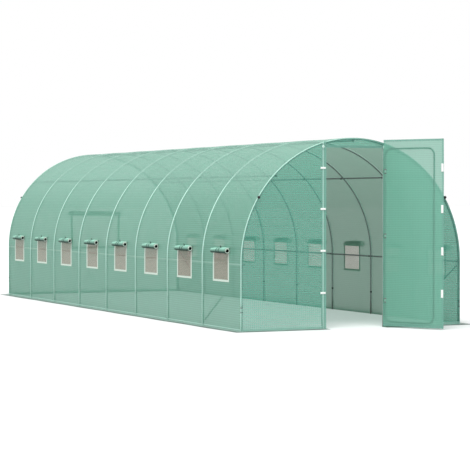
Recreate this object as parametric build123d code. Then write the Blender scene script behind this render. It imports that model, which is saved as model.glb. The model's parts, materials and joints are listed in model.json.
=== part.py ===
from build123d import *
import os
from math import cos, degrees, pi, radians, sin, sqrt

# A walk-in polytunnel: nine bent-tube hoops under a woven cover, a framed swing door in the front
# end and a row of roll-up windows down each side. Millimetres, +Z up, +X to the right of someone
# who looks in at the door. The hoops are drawn from the front hoop's plane, y = 0, and the
# whole tunnel is then moved so that the middle of its footprint is the origin.

# Tunnel
TUNNEL_LENGTH = 9000.0  # between the middles of the two end hoops
TUNNEL_WIDTH = 3000.0  # between the middles of a hoop's legs
LEG_HEIGHT = 800.0  # straight part of a leg, below the round arch
BAY_COUNT = 8

# Tubes, each a round steel tube drawn with flats, fewest on the long bends of the hoops
HOOP_SIDES = 4
TUBE_SIDES = 6
HOOP_TUBE = 24.0
RAIL_TUBE = 19.0
POST_TUBE = 24.0
DOOR_TUBE = 20.0
PURLIN_ANGLE = 45.0  # of the two side purlins, from the ridge down
RAIL_DROP = 10.0  # of the side rails below the springing of the arch
BRACE_DROP = 48.0  # of a brace's upper end below the side rail
BRACE_FOOT = 72.0  # height of a brace's lower end
POST_SPREAD = 840.0  # between the middles of the two door posts
HEADER_COVER = 15.0  # of the bar over the doorway above the edge of the cloth

# Clearances
SEAT_GAP = 0.3  # between pieces that lie against each other
SEAM_GAP = 0.6  # between neighbouring panels of the cover
OVERRUN = 20.0  # of every cut, past the faces that it goes through

# Cover
CLOTH = 3.0
WALL_ANGLE = 10.0  # up the arch, where a side wall panel ends
ROOF_STRIPS = 4  # to each side of the ridge
SKIRT_WIDTH = 120.0
LATCH_FLAP = 44.0  # of the left front panel, past the latch post's middle
TOP_STRIP = 122.0  # height of the cloth over the doorway, at the ridge

# Roll-up windows
WINDOW_WIDTH = 475.0  # across the outside of the border tape
WINDOW_HEIGHT = 380.0
WINDOW_RISE = 150.0  # of the window's top above the springing of the arch
BACK_WINDOW_WIDTH = 870.0
BACK_WINDOW_HEIGHT = 590.0
BACK_WINDOW_RISE = 530.0
BORDER_WIDTH = 35.0
BORDER_THICKNESS = 2.0
SCREEN_THICKNESS = 1.5
ROLL_DIAMETER = 64.0
ROLL_SIDES = 12
ROLL_OVERHANG = 20.0  # past the border at each end
ROLL_DROP = 9.0  # of the roll's axis below the top of the border

# Straps on the latch post
STRAP_WIDTH = 70.0
STRAP_HEIGHT = 24.0
STRAP_THICKNESS = 2.0
STRAP_LEVEL_SHARES = (0.198, 0.430, 0.661, 0.887)  # of the doorway's height

# Door, drawn shut and then swung open
DOOR_ANGLE = 117.0
DOOR_WIDTH = 860.0
DOOR_BOTTOM = 16.0
DOOR_OVERLAP = 101.0  # of the door's cloth above the doorway
DOOR_HINGE_FLAP = 20.0  # of cloth, past the hinge stile's axis
DOOR_FRAME_WIDTH = 700.0  # between the middles of the stiles
DOOR_FRAME_RADIUS = 90.0
DOOR_TOP_INSET = 111.0  # of the frame's top rail below the edge of the cloth
DOOR_FOOT_INSET = 54.0  # of the frame's bottom rail above the edge of the cloth
PATCH_WIDTH = 32.0
PATCH_HEIGHT = 97.0
PATCH_THICKNESS = 1.5
PATCH_INSET = 3.0  # from the door's free edge

# Hinges
HINGE_REACH = 50.0  # of the hinge axis in front of the post's axis
HINGE_LEVEL_SHARES = (0.15, 0.51, 0.87)  # of the doorway's height
HINGE_HEIGHT = 32.0
HINGE_PLATE_WIDTH = 30.0
HINGE_PLATE_HEIGHT = 60.0
HINGE_PLATE_THICKNESS = 3.0
HINGE_WALL = 4.0
HINGE_WEB = 6.0
BUSH_DIAMETER = 25.0  # of the round bushes on the door's stile
BUSH_END = 6.0  # of a bush, below its ring
COLLAR_HEIGHT = 8.0
NOTCH_CLEARANCE = 6.0  # round a hinge, in the door's cloth

# Worked out from the sizes above
arch_radius = TUNNEL_WIDTH / 2
bay = TUNNEL_LENGTH / BAY_COUNT
hoop_inside = arch_radius - HOOP_TUBE / 2
hoop_face = HOOP_TUBE / 2
post_corner = POST_TUBE / 2 / cos(pi / TUBE_SIDES)
cover_inside = arch_radius + HOOP_TUBE / 2 + SEAT_GAP
cover_outside = cover_inside + CLOTH
border_inside = cover_outside + SEAT_GAP
border_outside = border_inside + BORDER_THICKNESS
purlin_radius = hoop_inside - SEAT_GAP - RAIL_TUBE / 2
rail_height = LEG_HEIGHT - RAIL_DROP
end_inside = hoop_face + SEAT_GAP
end_outside = end_inside + CLOTH
end_radius = cover_inside - SEAT_GAP
window_top = LEG_HEIGHT + WINDOW_RISE
window_bottom = window_top - WINDOW_HEIGHT
back_window_top = LEG_HEIGHT + BACK_WINDOW_RISE
back_window_bottom = back_window_top - BACK_WINDOW_HEIGHT
post_x = POST_SPREAD / 2
latch_edge = LATCH_FLAP - post_x
hinge_edge = post_x - POST_TUBE / 2
doorway_height = LEG_HEIGHT + end_radius - TOP_STRIP
strap_levels = [share * doorway_height for share in STRAP_LEVEL_SHARES]
hinge_levels = [share * doorway_height for share in HINGE_LEVEL_SHARES]
hinge_y = -HINGE_REACH
ring_inside = BUSH_DIAMETER / 2 + SEAT_GAP
ring_outside = ring_inside + HINGE_WALL
door_top = doorway_height + DOOR_OVERLAP


def box_between(low, high):
    """A box from its lowest to its highest corner."""
    size = [high[k] - low[k] for k in range(3)]
    middle = [(high[k] + low[k]) / 2 for k in range(3)]
    return Pos(*middle) * Box(*size)


def section(width, sides=TUBE_SIDES):
    """A tube's outline, with a flat towards the drawing plane's x."""
    return RegularPolygon(width / 2, sides, major_radius=False, rotation=180 / sides)


def tube(start, end, width, facing, sides=TUBE_SIDES):
    """A straight tube from one point to another, with a flat that faces the given way."""
    line = Line(start, end)
    plane = Plane(origin=line @ 0, x_dir=facing, z_dir=line % 0)
    return extrude(plane * section(width, sides), amount=line.length)


def on_arch(radius, angle):
    """A point of the arch in the end's plane, with the angle from the left springing upwards."""
    turn = radians(angle)
    return (-radius * cos(turn), LEG_HEIGHT + radius * sin(turn))


def along(face, start, end):
    """Carry a face drawn in the end's plane from one y to another."""
    return extrude(Plane.XZ.offset(-end) * face, amount=end - start)


def arch_face(radius, bottom=0.0):
    """The outline of the whole end: two upright sides and a half circle."""
    left = Line((-radius, bottom), (-radius, LEG_HEIGHT))
    bow = ThreePointArc((-radius, LEG_HEIGHT), (0, LEG_HEIGHT + radius), (radius, LEG_HEIGHT))
    right = Line((radius, LEG_HEIGHT), (radius, bottom))
    sill = Line((radius, bottom), (-radius, bottom))
    return make_face([left, bow, right, sill])


def wall_face(inside, outside, bottom, angle):
    """A strip of the left side: up the leg from the bottom and on round the arch to an angle."""
    inner = ThreePointArc(on_arch(inside, 0), on_arch(inside, angle / 2), on_arch(inside, angle))
    outer = ThreePointArc(on_arch(outside, 0), on_arch(outside, angle / 2), on_arch(outside, angle))
    up = Line((-inside, bottom), inner @ 0)
    top = Line(inner @ 1, outer @ 1)
    down = Line(outer @ 0, (-outside, bottom))
    foot = Line((-outside, bottom), (-inside, bottom))
    return make_face([up, inner, top, outer, down, foot])


def strip_face(inside, outside, low, high):
    """A strip of the arch between two angles."""
    middle = (low + high) / 2
    inner = ThreePointArc(on_arch(inside, low), on_arch(inside, middle), on_arch(inside, high))
    outer = ThreePointArc(on_arch(outside, low), on_arch(outside, middle), on_arch(outside, high))
    return make_face([inner, Line(inner @ 1, outer @ 1), outer, Line(outer @ 0, inner @ 0)])


def both_sides(solid):
    """A left-hand piece and its mirror image on the right."""
    return solid, mirror(solid, about=Plane.YZ)


def hoop():
    """One hoop at y = 0: two legs and a half-circle bow of one bent tube."""
    foot = Pos(-arch_radius, 0, 0) * section(HOOP_TUBE, HOOP_SIDES)
    leg = extrude(foot, amount=LEG_HEIGHT)
    springing = Pos(0, 0, LEG_HEIGHT) * foot
    bow = revolve(springing, Axis((0, 0, LEG_HEIGHT), (0, 1, 0)), revolution_arc=180)
    return leg + bow + mirror(leg, about=Plane.YZ)


def purlin(angle):
    """A straight tube under all the hoops, at an angle from the ridge."""
    turn = radians(angle)
    outwards = (sin(turn), 0, cos(turn))
    x = purlin_radius * outwards[0]
    z = LEG_HEIGHT + purlin_radius * outwards[2]
    end_y = TUNNEL_LENGTH + hoop_face
    return tube((x, -hoop_face, z), (x, end_y, z), RAIL_TUBE, outwards)


def side_rail():
    """The left rail, inside the legs."""
    end_y = TUNNEL_LENGTH + hoop_face
    start = (-purlin_radius, -hoop_face, rail_height)
    return tube(start, (-purlin_radius, end_y, rail_height), RAIL_TUBE, (1, 0, 0))


def front_brace():
    """The left brace of the front bay, from the end hoop down to the second hoop's foot."""
    upper = (-purlin_radius, 0, rail_height - BRACE_DROP)
    return tube(upper, (-purlin_radius, bay, BRACE_FOOT), RAIL_TUBE, (1, 0, 0))


def turned_round(solid):
    """A front piece carried to the same place at the back end, on the same side."""
    return mirror(solid, about=Plane.XZ.offset(-TUNNEL_LENGTH / 2))


def door_post():
    """The left door post, from the ground up to the underside of the front hoop."""
    outer_edge = post_x + post_corner
    top = LEG_HEIGHT + sqrt(hoop_inside**2 - outer_edge**2) - SEAT_GAP
    return tube((-post_x, 0, 0), (-post_x, 0, top), POST_TUBE, (0, 1, 0))


def door_header():
    """The bar between the door posts, behind the lower edge of the cloth over the doorway."""
    reach = post_x - post_corner - SEAT_GAP
    z = doorway_height + HEADER_COVER
    return tube((-reach, 0, z), (reach, 0, z), RAIL_TUBE, (0, 0, 1))


def window_middles():
    """The y of the middle of each bay."""
    return [bay * (k + 1 / 2) for k in range(BAY_COUNT)]


def side_cut(y, width, bottom, top):
    """A block through the left side at one window, of the given width and heights."""
    low = (-border_outside - OVERRUN, y - width / 2, bottom)
    return box_between(low, (-hoop_inside + OVERRUN, y + width / 2, top))


def side_opening(y, trim):
    """A block as large as one side window less a trim all round."""
    width = WINDOW_WIDTH - 2 * trim
    return side_cut(y, width, window_bottom + trim, window_top - trim)


def wall_cover():
    """The left wall panel with its row of windows cut through."""
    face = wall_face(cover_inside, cover_outside, 0, WALL_ANGLE)
    wall = along(face, -end_outside, TUNNEL_LENGTH + end_outside)
    for y in window_middles():
        wall -= side_opening(y, BORDER_WIDTH)
    return wall


def window_screens():
    """Insect screens that fill the left wall's windows."""
    face = wall_face(cover_inside, cover_inside + SCREEN_THICKNESS, 0, WALL_ANGLE)
    sheet = along(face, 0, TUNNEL_LENGTH)
    return [sheet & side_opening(y, BORDER_WIDTH + SEAT_GAP) for y in window_middles()]


def window_borders():
    """Border tapes round the left wall's windows, on the outside of the cloth."""
    face = wall_face(border_inside, border_outside, 0, WALL_ANGLE)
    sheet = along(face, 0, TUNNEL_LENGTH)
    return [(sheet & side_opening(y, 0)) - side_opening(y, BORDER_WIDTH) for y in window_middles()]


def window_rolls():
    """Rolled-up window flaps, along the tops of the left wall's windows."""
    radius = border_outside + SEAT_GAP + ROLL_DIAMETER / 2
    z = window_top - ROLL_DROP
    x = -sqrt(radius**2 - (z - LEG_HEIGHT) ** 2)
    inwards = (-x, 0, LEG_HEIGHT - z)
    half = WINDOW_WIDTH / 2 + ROLL_OVERHANG
    rolls = []
    for y in window_middles():
        rolls.append(tube((x, y - half, z), (x, y + half, z), ROLL_DIAMETER, inwards, ROLL_SIDES))
    return rolls


def roof_strips():
    """The left half of the roof, strip by strip from the wall panel to the ridge."""
    step = (90 - WALL_ANGLE) / ROOF_STRIPS
    seam = degrees(SEAM_GAP / 2 / cover_outside)
    strips = []
    for k in range(ROOF_STRIPS):
        low = WALL_ANGLE + k * step
        face = strip_face(cover_inside, cover_outside, low + seam, low + step - seam)
        strips.append(along(face, -end_outside, TUNNEL_LENGTH + end_outside))
    return strips


def end_cut(left, right, bottom, top):
    """A block through the front end."""
    return box_between((left, -end_outside - OVERRUN, bottom), (right, OVERRUN, top))


def front_panels():
    """The left and right front panels, the right one flush with its post, and the strip between."""
    sheet = along(arch_face(end_radius), -end_outside, -end_inside)
    height = LEG_HEIGHT + end_radius + OVERRUN
    left = sheet & end_cut(-end_radius - OVERRUN, latch_edge, -OVERRUN, height)
    right = sheet & end_cut(hinge_edge, end_radius + OVERRUN, -OVERRUN, height)
    over = sheet & end_cut(latch_edge + SEAM_GAP, hinge_edge - SEAM_GAP, doorway_height, height)
    return left, right, over


def back_opening(trim):
    """A block as large as the back window less a trim all round."""
    half = BACK_WINDOW_WIDTH / 2 - trim
    low = (-half, TUNNEL_LENGTH - OVERRUN, back_window_bottom + trim)
    high = (half, TUNNEL_LENGTH + end_outside + OVERRUN, back_window_top - trim)
    return box_between(low, high)


def back_sheet(start, end):
    """The whole back end between two distances from the back hoop's middle."""
    return along(arch_face(end_radius), TUNNEL_LENGTH + start, TUNNEL_LENGTH + end)


def back_window():
    """The back window's screen, border tape and rolled-up flap."""
    screen = back_sheet(end_inside, end_inside + SCREEN_THICKNESS)
    screen &= back_opening(BORDER_WIDTH + SEAT_GAP)
    start = end_outside + SEAT_GAP
    tape = back_sheet(start, start + BORDER_THICKNESS) & back_opening(0)
    tape -= back_opening(BORDER_WIDTH)
    y = TUNNEL_LENGTH + start + BORDER_THICKNESS + SEAT_GAP + ROLL_DIAMETER / 2
    z = back_window_top - ROLL_DROP
    half = BACK_WINDOW_WIDTH / 2 + ROLL_OVERHANG
    roll = tube((-half, y, z), (half, y, z), ROLL_DIAMETER, (0, 1, 0), ROLL_SIDES)
    return screen, tape, roll


def side_skirt():
    """The flap of cover that lies on the ground along the left side, corners included."""
    reach = end_outside + SEAT_GAP + SKIRT_WIDTH
    inner = -cover_outside - SEAT_GAP
    return box_between((inner - SKIRT_WIDTH, -reach, 0), (inner, TUNNEL_LENGTH + reach, CLOTH))


def end_skirt(left, right):
    """A flap on the ground in front of the front end, between two x."""
    outer = -end_outside - SEAT_GAP - SKIRT_WIDTH
    return box_between((left, outer, 0), (right, -end_outside - SEAT_GAP, CLOTH))


def post_straps():
    """Hook-and-loop straps across the latch post, on the outside of the left front panel."""
    back = -end_outside - SEAT_GAP
    straps = []
    for z in strap_levels:
        low = (-post_x - STRAP_WIDTH / 2, back - STRAP_THICKNESS, z - STRAP_HEIGHT / 2)
        straps.append(box_between(low, (low[0] + STRAP_WIDTH, back, z + STRAP_HEIGHT / 2)))
    return straps


def hinge_brackets():
    """Plates on the right post, each with a ring in which the door's stile turns."""
    back = -end_outside - SEAT_GAP
    front = back - HINGE_PLATE_THICKNESS
    brackets = []
    for z in hinge_levels:
        low = (post_x - HINGE_PLATE_WIDTH / 2, front, z - HINGE_PLATE_HEIGHT / 2)
        plate = box_between(low, (low[0] + HINGE_PLATE_WIDTH, back, z + HINGE_PLATE_HEIGHT / 2))
        web_low = (post_x - HINGE_WEB / 2, hinge_y, z - HINGE_HEIGHT / 2)
        web = box_between(web_low, (web_low[0] + HINGE_WEB, front, z + HINGE_HEIGHT / 2))
        knuckle = Pos(post_x, hinge_y, z) * Cylinder(ring_outside, HINGE_HEIGHT)
        bore = Pos(post_x, hinge_y, z) * Cylinder(ring_inside, HINGE_HEIGHT + 2 * OVERRUN)
        brackets.append(plate + web + knuckle - bore)
    return brackets


def door_frame():
    """The door's bent-tube frame, with a bush and a stop collar at each hinge ring, drawn shut."""
    bottom = DOOR_BOTTOM + DOOR_FOOT_INSET
    height = door_top - DOOR_TOP_INSET - bottom
    middle = Pos(post_x - DOOR_FRAME_WIDTH / 2, bottom + height / 2)
    outline = middle * RectangleRounded(DOOR_FRAME_WIDTH, height, DOOR_FRAME_RADIUS)
    loop = (Plane.XZ.offset(-hinge_y) * outline).face().outer_wire()
    start = Plane(origin=loop @ 0, x_dir=(0, 1, 0), z_dir=loop % 0)
    frame = sweep(start * section(DOOR_TUBE), path=loop)
    for z in hinge_levels:
        seat = z + HINGE_HEIGHT / 2 + SEAT_GAP
        foot = z - HINGE_HEIGHT / 2 - BUSH_END
        bush = Cylinder(BUSH_DIAMETER / 2, seat - foot)
        frame += Pos(post_x, hinge_y, (seat + foot) / 2) * bush
        frame += Pos(post_x, hinge_y, seat + COLLAR_HEIGHT / 2) * Cylinder(ring_outside, COLLAR_HEIGHT)
    return frame


def door_panel():
    """The door's cloth, on the inner side of the frame and notched round the hinges, drawn shut."""
    front = hinge_y + DOOR_TUBE / 2 + SEAT_GAP
    right = post_x + DOOR_HINGE_FLAP
    panel = box_between((right - DOOR_WIDTH, front, DOOR_BOTTOM), (right, front + CLOTH, door_top))
    left = post_x - ring_outside - NOTCH_CLEARANCE
    for z in hinge_levels:
        foot = z - HINGE_HEIGHT / 2 - BUSH_END - NOTCH_CLEARANCE
        top = z + HINGE_HEIGHT / 2 + COLLAR_HEIGHT + NOTCH_CLEARANCE
        notch_low = (left, front - OVERRUN, foot)
        panel -= box_between(notch_low, (right + OVERRUN, front + CLOTH + OVERRUN, top))
    return panel


def door_patches():
    """Hook-and-loop patches on the inner face of the door, by its free edge, drawn shut."""
    front = hinge_y + DOOR_TUBE / 2 + SEAT_GAP + CLOTH + SEAT_GAP
    left = post_x + DOOR_HINGE_FLAP - DOOR_WIDTH + PATCH_INSET
    patches = []
    for z in strap_levels:
        low = (left, front, z - PATCH_HEIGHT / 2)
        high = (left + PATCH_WIDTH, front + PATCH_THICKNESS, z + PATCH_HEIGHT / 2)
        patches.append(box_between(low, high))
    return patches


def swung_open(solid):
    """A door piece turned about the hinge from shut to where it stands open."""
    hinge = Axis((post_x, hinge_y, 0), (0, 0, 1))
    return solid.rotate(hinge, DOOR_ANGLE)


def tunnel_nodes():
    """Every node's name with its solid or solids."""
    nodes = {f"hoop_{k + 1}": Pos(0, bay * k, 0) * hoop() for k in range(BAY_COUNT + 1)}
    nodes["ridge_purlin"] = purlin(0)
    nodes["left_purlin"] = purlin(-PURLIN_ANGLE)
    nodes["right_purlin"] = purlin(PURLIN_ANGLE)
    nodes["left_side_rail"], nodes["right_side_rail"] = both_sides(side_rail())
    nodes["front_left_brace"], nodes["front_right_brace"] = both_sides(front_brace())
    nodes["back_left_brace"], nodes["back_right_brace"] = both_sides(turned_round(front_brace()))
    nodes["latch_post"], nodes["hinge_post"] = both_sides(door_post())
    nodes["door_header"] = door_header()
    nodes["left_wall_cover"], nodes["right_wall_cover"] = both_sides(wall_cover())
    roof = [both_sides(strip) for strip in roof_strips()]
    nodes["left_roof_cover"], nodes["right_roof_cover"] = zip(*roof)
    left, right, over = front_panels()
    nodes["front_left_panel"] = left
    nodes["front_right_panel"] = right
    nodes["doorway_top_panel"] = over
    nodes["back_panel"] = back_sheet(end_inside, end_outside) - back_opening(BORDER_WIDTH)
    nodes["left_skirt"], nodes["right_skirt"] = both_sides(side_skirt())
    front_skirts = [end_skirt(-cover_outside, latch_edge), end_skirt(hinge_edge, cover_outside)]
    nodes["front_skirts"] = front_skirts
    nodes["back_skirt"] = turned_round(end_skirt(-cover_outside, cover_outside))
    rows = {"screens": window_screens(), "borders": window_borders(), "rolls": window_rolls()}
    for name, row in rows.items():
        pairs = [both_sides(piece) for piece in row]
        nodes[f"left_window_{name}"], nodes[f"right_window_{name}"] = zip(*pairs)
    screen, tape, roll = back_window()
    nodes["back_window_screen"] = screen
    nodes["back_window_border"] = tape
    nodes["back_window_roll"] = roll
    nodes["post_straps"] = post_straps()
    nodes["hinge_brackets"] = hinge_brackets()
    nodes["door_frame"] = swung_open(door_frame())
    nodes["door_panel"] = swung_open(door_panel())
    nodes["door_patches"] = [swung_open(patch) for patch in door_patches()]
    return nodes


def main():
    """Write each node to its own file, with the middle of the footprint at the origin."""
    nodes = tunnel_nodes()
    solids = {}
    for name, made in nodes.items():
        pieces = made if isinstance(made, (list, tuple)) else [made]
        solids[name] = Compound(children=[s for piece in pieces for s in piece.solids()])
    front = solids["door_panel"].bounding_box().min.Y
    for name in ("door_frame", "door_patches"):
        front = min(front, solids[name].bounding_box().min.Y)
    back = solids["left_skirt"].bounding_box().max.Y
    home = Pos(0, -(front + back) / 2, 0)
    os.makedirs("parts", exist_ok=True)
    for name, solid in solids.items():
        export_step(home * solid, f"parts/{name}.step")
    print(f"front hoop at y = {-(front + back) / 2:.3f}")


main()
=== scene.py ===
"""Looks of a walk-in polytunnel: bent hoops, woven cover, roll-up windows and a framed swing door."""

from __future__ import annotations

import json
import logging
import math
from dataclasses import dataclass, field
from enum import Enum
from typing import Any, Callable, Sequence

import bpy
import numpy as np
from mathutils import Matrix, Vector

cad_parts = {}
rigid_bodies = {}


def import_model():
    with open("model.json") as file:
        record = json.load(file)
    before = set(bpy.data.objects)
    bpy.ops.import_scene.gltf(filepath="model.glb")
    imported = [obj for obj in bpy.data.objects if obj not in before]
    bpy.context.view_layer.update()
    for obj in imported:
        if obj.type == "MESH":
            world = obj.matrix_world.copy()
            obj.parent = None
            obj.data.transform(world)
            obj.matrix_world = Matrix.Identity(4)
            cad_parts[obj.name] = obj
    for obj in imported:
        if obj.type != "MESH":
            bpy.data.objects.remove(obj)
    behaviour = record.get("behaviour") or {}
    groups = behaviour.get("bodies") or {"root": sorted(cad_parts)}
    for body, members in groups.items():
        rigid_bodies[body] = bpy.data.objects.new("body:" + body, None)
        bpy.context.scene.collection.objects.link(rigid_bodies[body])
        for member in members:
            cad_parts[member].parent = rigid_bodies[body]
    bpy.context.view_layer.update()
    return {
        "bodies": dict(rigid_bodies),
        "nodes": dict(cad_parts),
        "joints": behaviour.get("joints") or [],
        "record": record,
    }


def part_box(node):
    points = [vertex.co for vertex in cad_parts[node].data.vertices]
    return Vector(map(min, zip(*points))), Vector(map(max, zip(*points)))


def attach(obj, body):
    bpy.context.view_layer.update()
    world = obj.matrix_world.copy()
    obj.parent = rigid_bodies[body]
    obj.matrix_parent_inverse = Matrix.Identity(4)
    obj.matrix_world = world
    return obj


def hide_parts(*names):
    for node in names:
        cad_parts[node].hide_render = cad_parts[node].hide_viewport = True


LOG = logging.getLogger("polytunnel")
UV_NAME = "cloth"
# point attribute of painted light and painted shade, which also holds pale hem lines
PAINTED_LIGHT_NAME = "press"
PLACE_DIGITS = 6
FINE_DIGITS = 7
LIFT_PROBE = 0.01
ALONG_X = (1.0, 0.0, 0.0)
ALONG_Y = (0.0, 1.0, 0.0)
ALONG_Z = (0.0, 0.0, 1.0)
Pair = tuple[float, float]
Colour = tuple[float, float, float]
Profile = tuple[Pair, ...]
Place = Callable[[np.ndarray, np.ndarray, np.ndarray], np.ndarray]


class Body(Enum):
    """The bodies that pieces ride on."""

    TUNNEL = "tunnel"
    DOOR = "door"


class Slot(Enum):
    """The material slots of the record."""

    HOOP = "hoop_tube"
    RAIL = "rail_tube"
    DOOR_TUBE = "door_tube"
    HINGE = "hinge_steel"
    COVER = "cover_cloth"
    DOOR_CLOTH = "door_cloth"
    ROLL = "rolled_flap"
    SCREEN = "insect_screen"
    BORDER = "border_tape"
    WEBBING = "white_webbing"


class Side(Enum):
    """The two long sides."""

    LEFT = -1
    RIGHT = 1


# surfaces


def unit(vectors: np.ndarray) -> np.ndarray:
    """Vectors scaled to unit length."""
    return vectors / np.linalg.norm(vectors, axis=-1, keepdims=True)


def lattice(first: np.ndarray, second: np.ndarray) -> list[np.ndarray]:
    """Grids of two parameters: the first goes down the rows, the second along the columns."""
    return list(np.meshgrid(first, second, indexing="ij"))


def merged(*places: np.ndarray, digits: int = PLACE_DIGITS) -> np.ndarray:
    """Several lists of places as one rising list, rounded and with none twice."""
    return np.unique(np.round(np.concatenate(places), digits))


def stops(*runs: tuple[float, float, int]) -> np.ndarray:
    """Rising places: each run is a start, an end and a number of equal steps."""
    lines = (np.linspace(start, end, steps + 1) for start, end, steps in runs)
    return merged(*lines, digits=FINE_DIGITS)


def ramp(x: np.ndarray, start: float, end: float) -> np.ndarray:
    """A straight step from 0 at start to 1 at end; start may be the larger of the two."""
    return np.clip((x - start) / (end - start), 0, 1)


def ease(x: np.ndarray, start: float, end: float) -> np.ndarray:
    """A smooth step from 0 at start to 1 at end: t * t * (3 - 2 * t) of the straight step t."""
    t = ramp(x, start, end)
    return t * t * (3 - 2 * t)


def hump(x: np.ndarray, middle: float, half: float) -> np.ndarray:
    """A smooth bump of height 1: the squared cosine over the given half width."""
    return np.cos(ramp(np.abs(x - middle), 0, half) * np.pi / 2) ** 2


@dataclass
class Surface:
    """Points, quads between them, a UV pair at each quad's corner, and closing end faces.

    Attributes:
        points: (n, 3) places in metres.
        quads: (m, 4) indices.
        uv: (m, 4, 2) UV pairs in metres along the surface.
        caps: index rings of the faces that close an end.
        press: (n,) painted light of each point: from 0 to 1 how pale, as the painted highlight of a lit
            tube behind, a lit side, or a pale hem line; below 0 how dark, as painted shade.
    """

    points: np.ndarray
    quads: np.ndarray
    uv: np.ndarray
    caps: list[np.ndarray] = field(default_factory=list)
    press: np.ndarray | None = None

    @classmethod
    def grid(
        cls, points: np.ndarray, uv: np.ndarray, wrap: bool = False, keep: np.ndarray | None = None
    ) -> Surface:
        """Quads between the neighbours of a grid of points.

        Args:
            points: (rows, cols, 3) places.
            uv: (rows, cols, 2) UV pairs, with one column more if wrap is set.
            wrap: True if the last column meets the first.
            keep: (rows - 1, cells) mask of the cells that stay.

        Returns:
            The surface, whose normals are the way along a row crossed with the way down a column.
        """
        rows, cols = points.shape[:2]
        i, j = lattice(np.arange(rows - 1), np.arange(cols if wrap else cols - 1))
        kept = np.ones(i.shape, bool) if keep is None else keep
        i, j = i[kept], j[kept]
        row = np.stack([i, i + 1, i + 1, i], -1)
        col = np.stack([j + 1, j + 1, j, j], -1)
        return cls(points.reshape(-1, 3), row * cols + col % cols, uv[row, col])

    @classmethod
    def joined(cls, parts: Sequence[Surface]) -> Surface:
        """Several surfaces as one, with their indices moved up one after another.

        Args:
            parts: the surfaces.

        Returns:
            The one surface; a part without press counts as 0.
        """
        offsets = np.cumsum([0] + [len(p.points) for p in parts])
        press = [np.zeros(len(p.points)) if p.press is None else p.press for p in parts]
        return cls(
            np.concatenate([p.points for p in parts]),
            np.concatenate([p.quads + o for p, o in zip(parts, offsets)]),
            np.concatenate([p.uv for p in parts]),
            [cap + o for p, o in zip(parts, offsets) for cap in p.caps],
            np.concatenate(press),
        )

    def normals(self) -> np.ndarray:
        """Each quad's normal, not of unit length: the cross product of its diagonals."""
        p = self.points[self.quads]
        return np.cross(p[:, 2] - p[:, 0], p[:, 3] - p[:, 1])

    def facing(self, outward: np.ndarray) -> Surface:
        """The surface with every quad turned towards the outward direction at its corners.

        Args:
            outward: a direction for each point.

        Returns:
            The turned surface.
        """
        wanted = outward.reshape(-1, 3)[self.quads].mean(1)
        wrong = (self.normals() * wanted).sum(1) < 0
        quads, uv = self.quads.copy(), self.uv.copy()
        quads[wrong] = quads[wrong][:, ::-1]
        uv[wrong] = uv[wrong][:, ::-1]
        return Surface(self.points, quads, uv, self.caps, self.press)

    def area(self) -> float:
        """The quads' area in square metres: half the length of each one's cross product."""
        return float(np.linalg.norm(self.normals(), axis=1).sum() / 2)


def tube(
    path: np.ndarray,
    radius: np.ndarray | float,
    across: Sequence[float],
    sides: int = 14,
    closed: bool = False,
    tangent: np.ndarray | None = None,
) -> Surface:
    """A round or oval profile carried along a path.

    The point at t and angle a is path(t) + r1(t) cos(a) n(t) + r2(t) sin(a) b(t), where n is the
    given direction crossed with the path's tangent, and b is the tangent crossed with n.

    Args:
        path: (n, 3) places along the middle.
        radius: one radius, one for each place, or rows of a pair (along n, along b).
        across: a direction that the path never runs along.
        sides: corners of the profile.
        closed: True if the path is a ring.
        tangent: the path's direction, or None to take it from the places.

    Returns:
        The tube, closed at its ends.
    """
    if tangent is None:
        ahead = np.roll(path, -1, 0) - np.roll(path, 1, 0) if closed else np.gradient(path, axis=0)
        tangent = unit(ahead)
    n = unit(np.cross(np.asarray(across, float), tangent))
    b = np.cross(tangent, n)
    given = np.asarray(radius, float)
    radii = np.broadcast_to(given if given.ndim == 2 else given.reshape(-1, 1), (len(path), 2))
    angle = 2 * np.pi * np.arange(sides) / sides
    ring = radii[:, None, :1] * np.cos(angle)[:, None] * n[:, None]
    ring = ring + radii[:, None, 1:] * np.sin(angle)[:, None] * b[:, None]
    points = path[:, None] + ring
    if closed:
        points, path = np.concatenate([points, points[:1]]), np.concatenate([path, path[:1]])
    run = np.append(0, np.cumsum(np.linalg.norm(np.diff(path, axis=0), axis=1)))
    turn = 2 * np.pi * float(radii.mean()) * np.arange(sides + 1) / sides
    made = Surface.grid(points, np.stack(lattice(run, turn), -1), wrap=True)
    first, last = np.arange(sides), (len(path) - 1) * sides
    if closed:
        made.quads, made.points = made.quads % last, made.points[:last]
    else:
        made.caps = [first[::-1], last + first]
    return made


def square_to(way: np.ndarray) -> tuple[float, float, float]:
    """A direction well away from a unit one: upright, or along Y for one that is steep itself."""
    return ALONG_Z if abs(way[2]) < 0.8 else ALONG_Y


def rod(
    start: Sequence[float], end: Sequence[float], radius: float, sides: int = 14, cuts: int = 2
) -> Surface:
    """A straight round tube: the path is the line from start to end.

    Args:
        start: one end of the middle line.
        end: its other end.
        radius: of the tube.
        sides: corners of the profile.
        cuts: rings along the line.

    Returns:
        The closed tube.
    """
    share = np.linspace(0, 1, cuts)[:, None]
    path = np.asarray(start, float) * (1 - share) + np.asarray(end, float) * share
    return tube(path, radius, square_to(unit(path[-1] - path[0])), sides)


def lathe(origin: Sequence[float], axis: Sequence[float], profile: Profile, sides: int = 20) -> Surface:
    """A profile of (height, radius) pairs turned about an axis.

    Args:
        origin: the place at height 0.
        axis: the direction of height.
        profile: pairs that rise from one end to the other, with a radius above 0.
        sides: corners of a ring.

    Returns:
        The closed surface.
    """
    heights, radii = np.array(profile, float).T
    way = unit(np.asarray(axis, float))
    path = np.asarray(origin, float) + heights[:, None] * way
    return tube(path, radii, square_to(way), sides, tangent=np.tile(way, (len(path), 1)))


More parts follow.
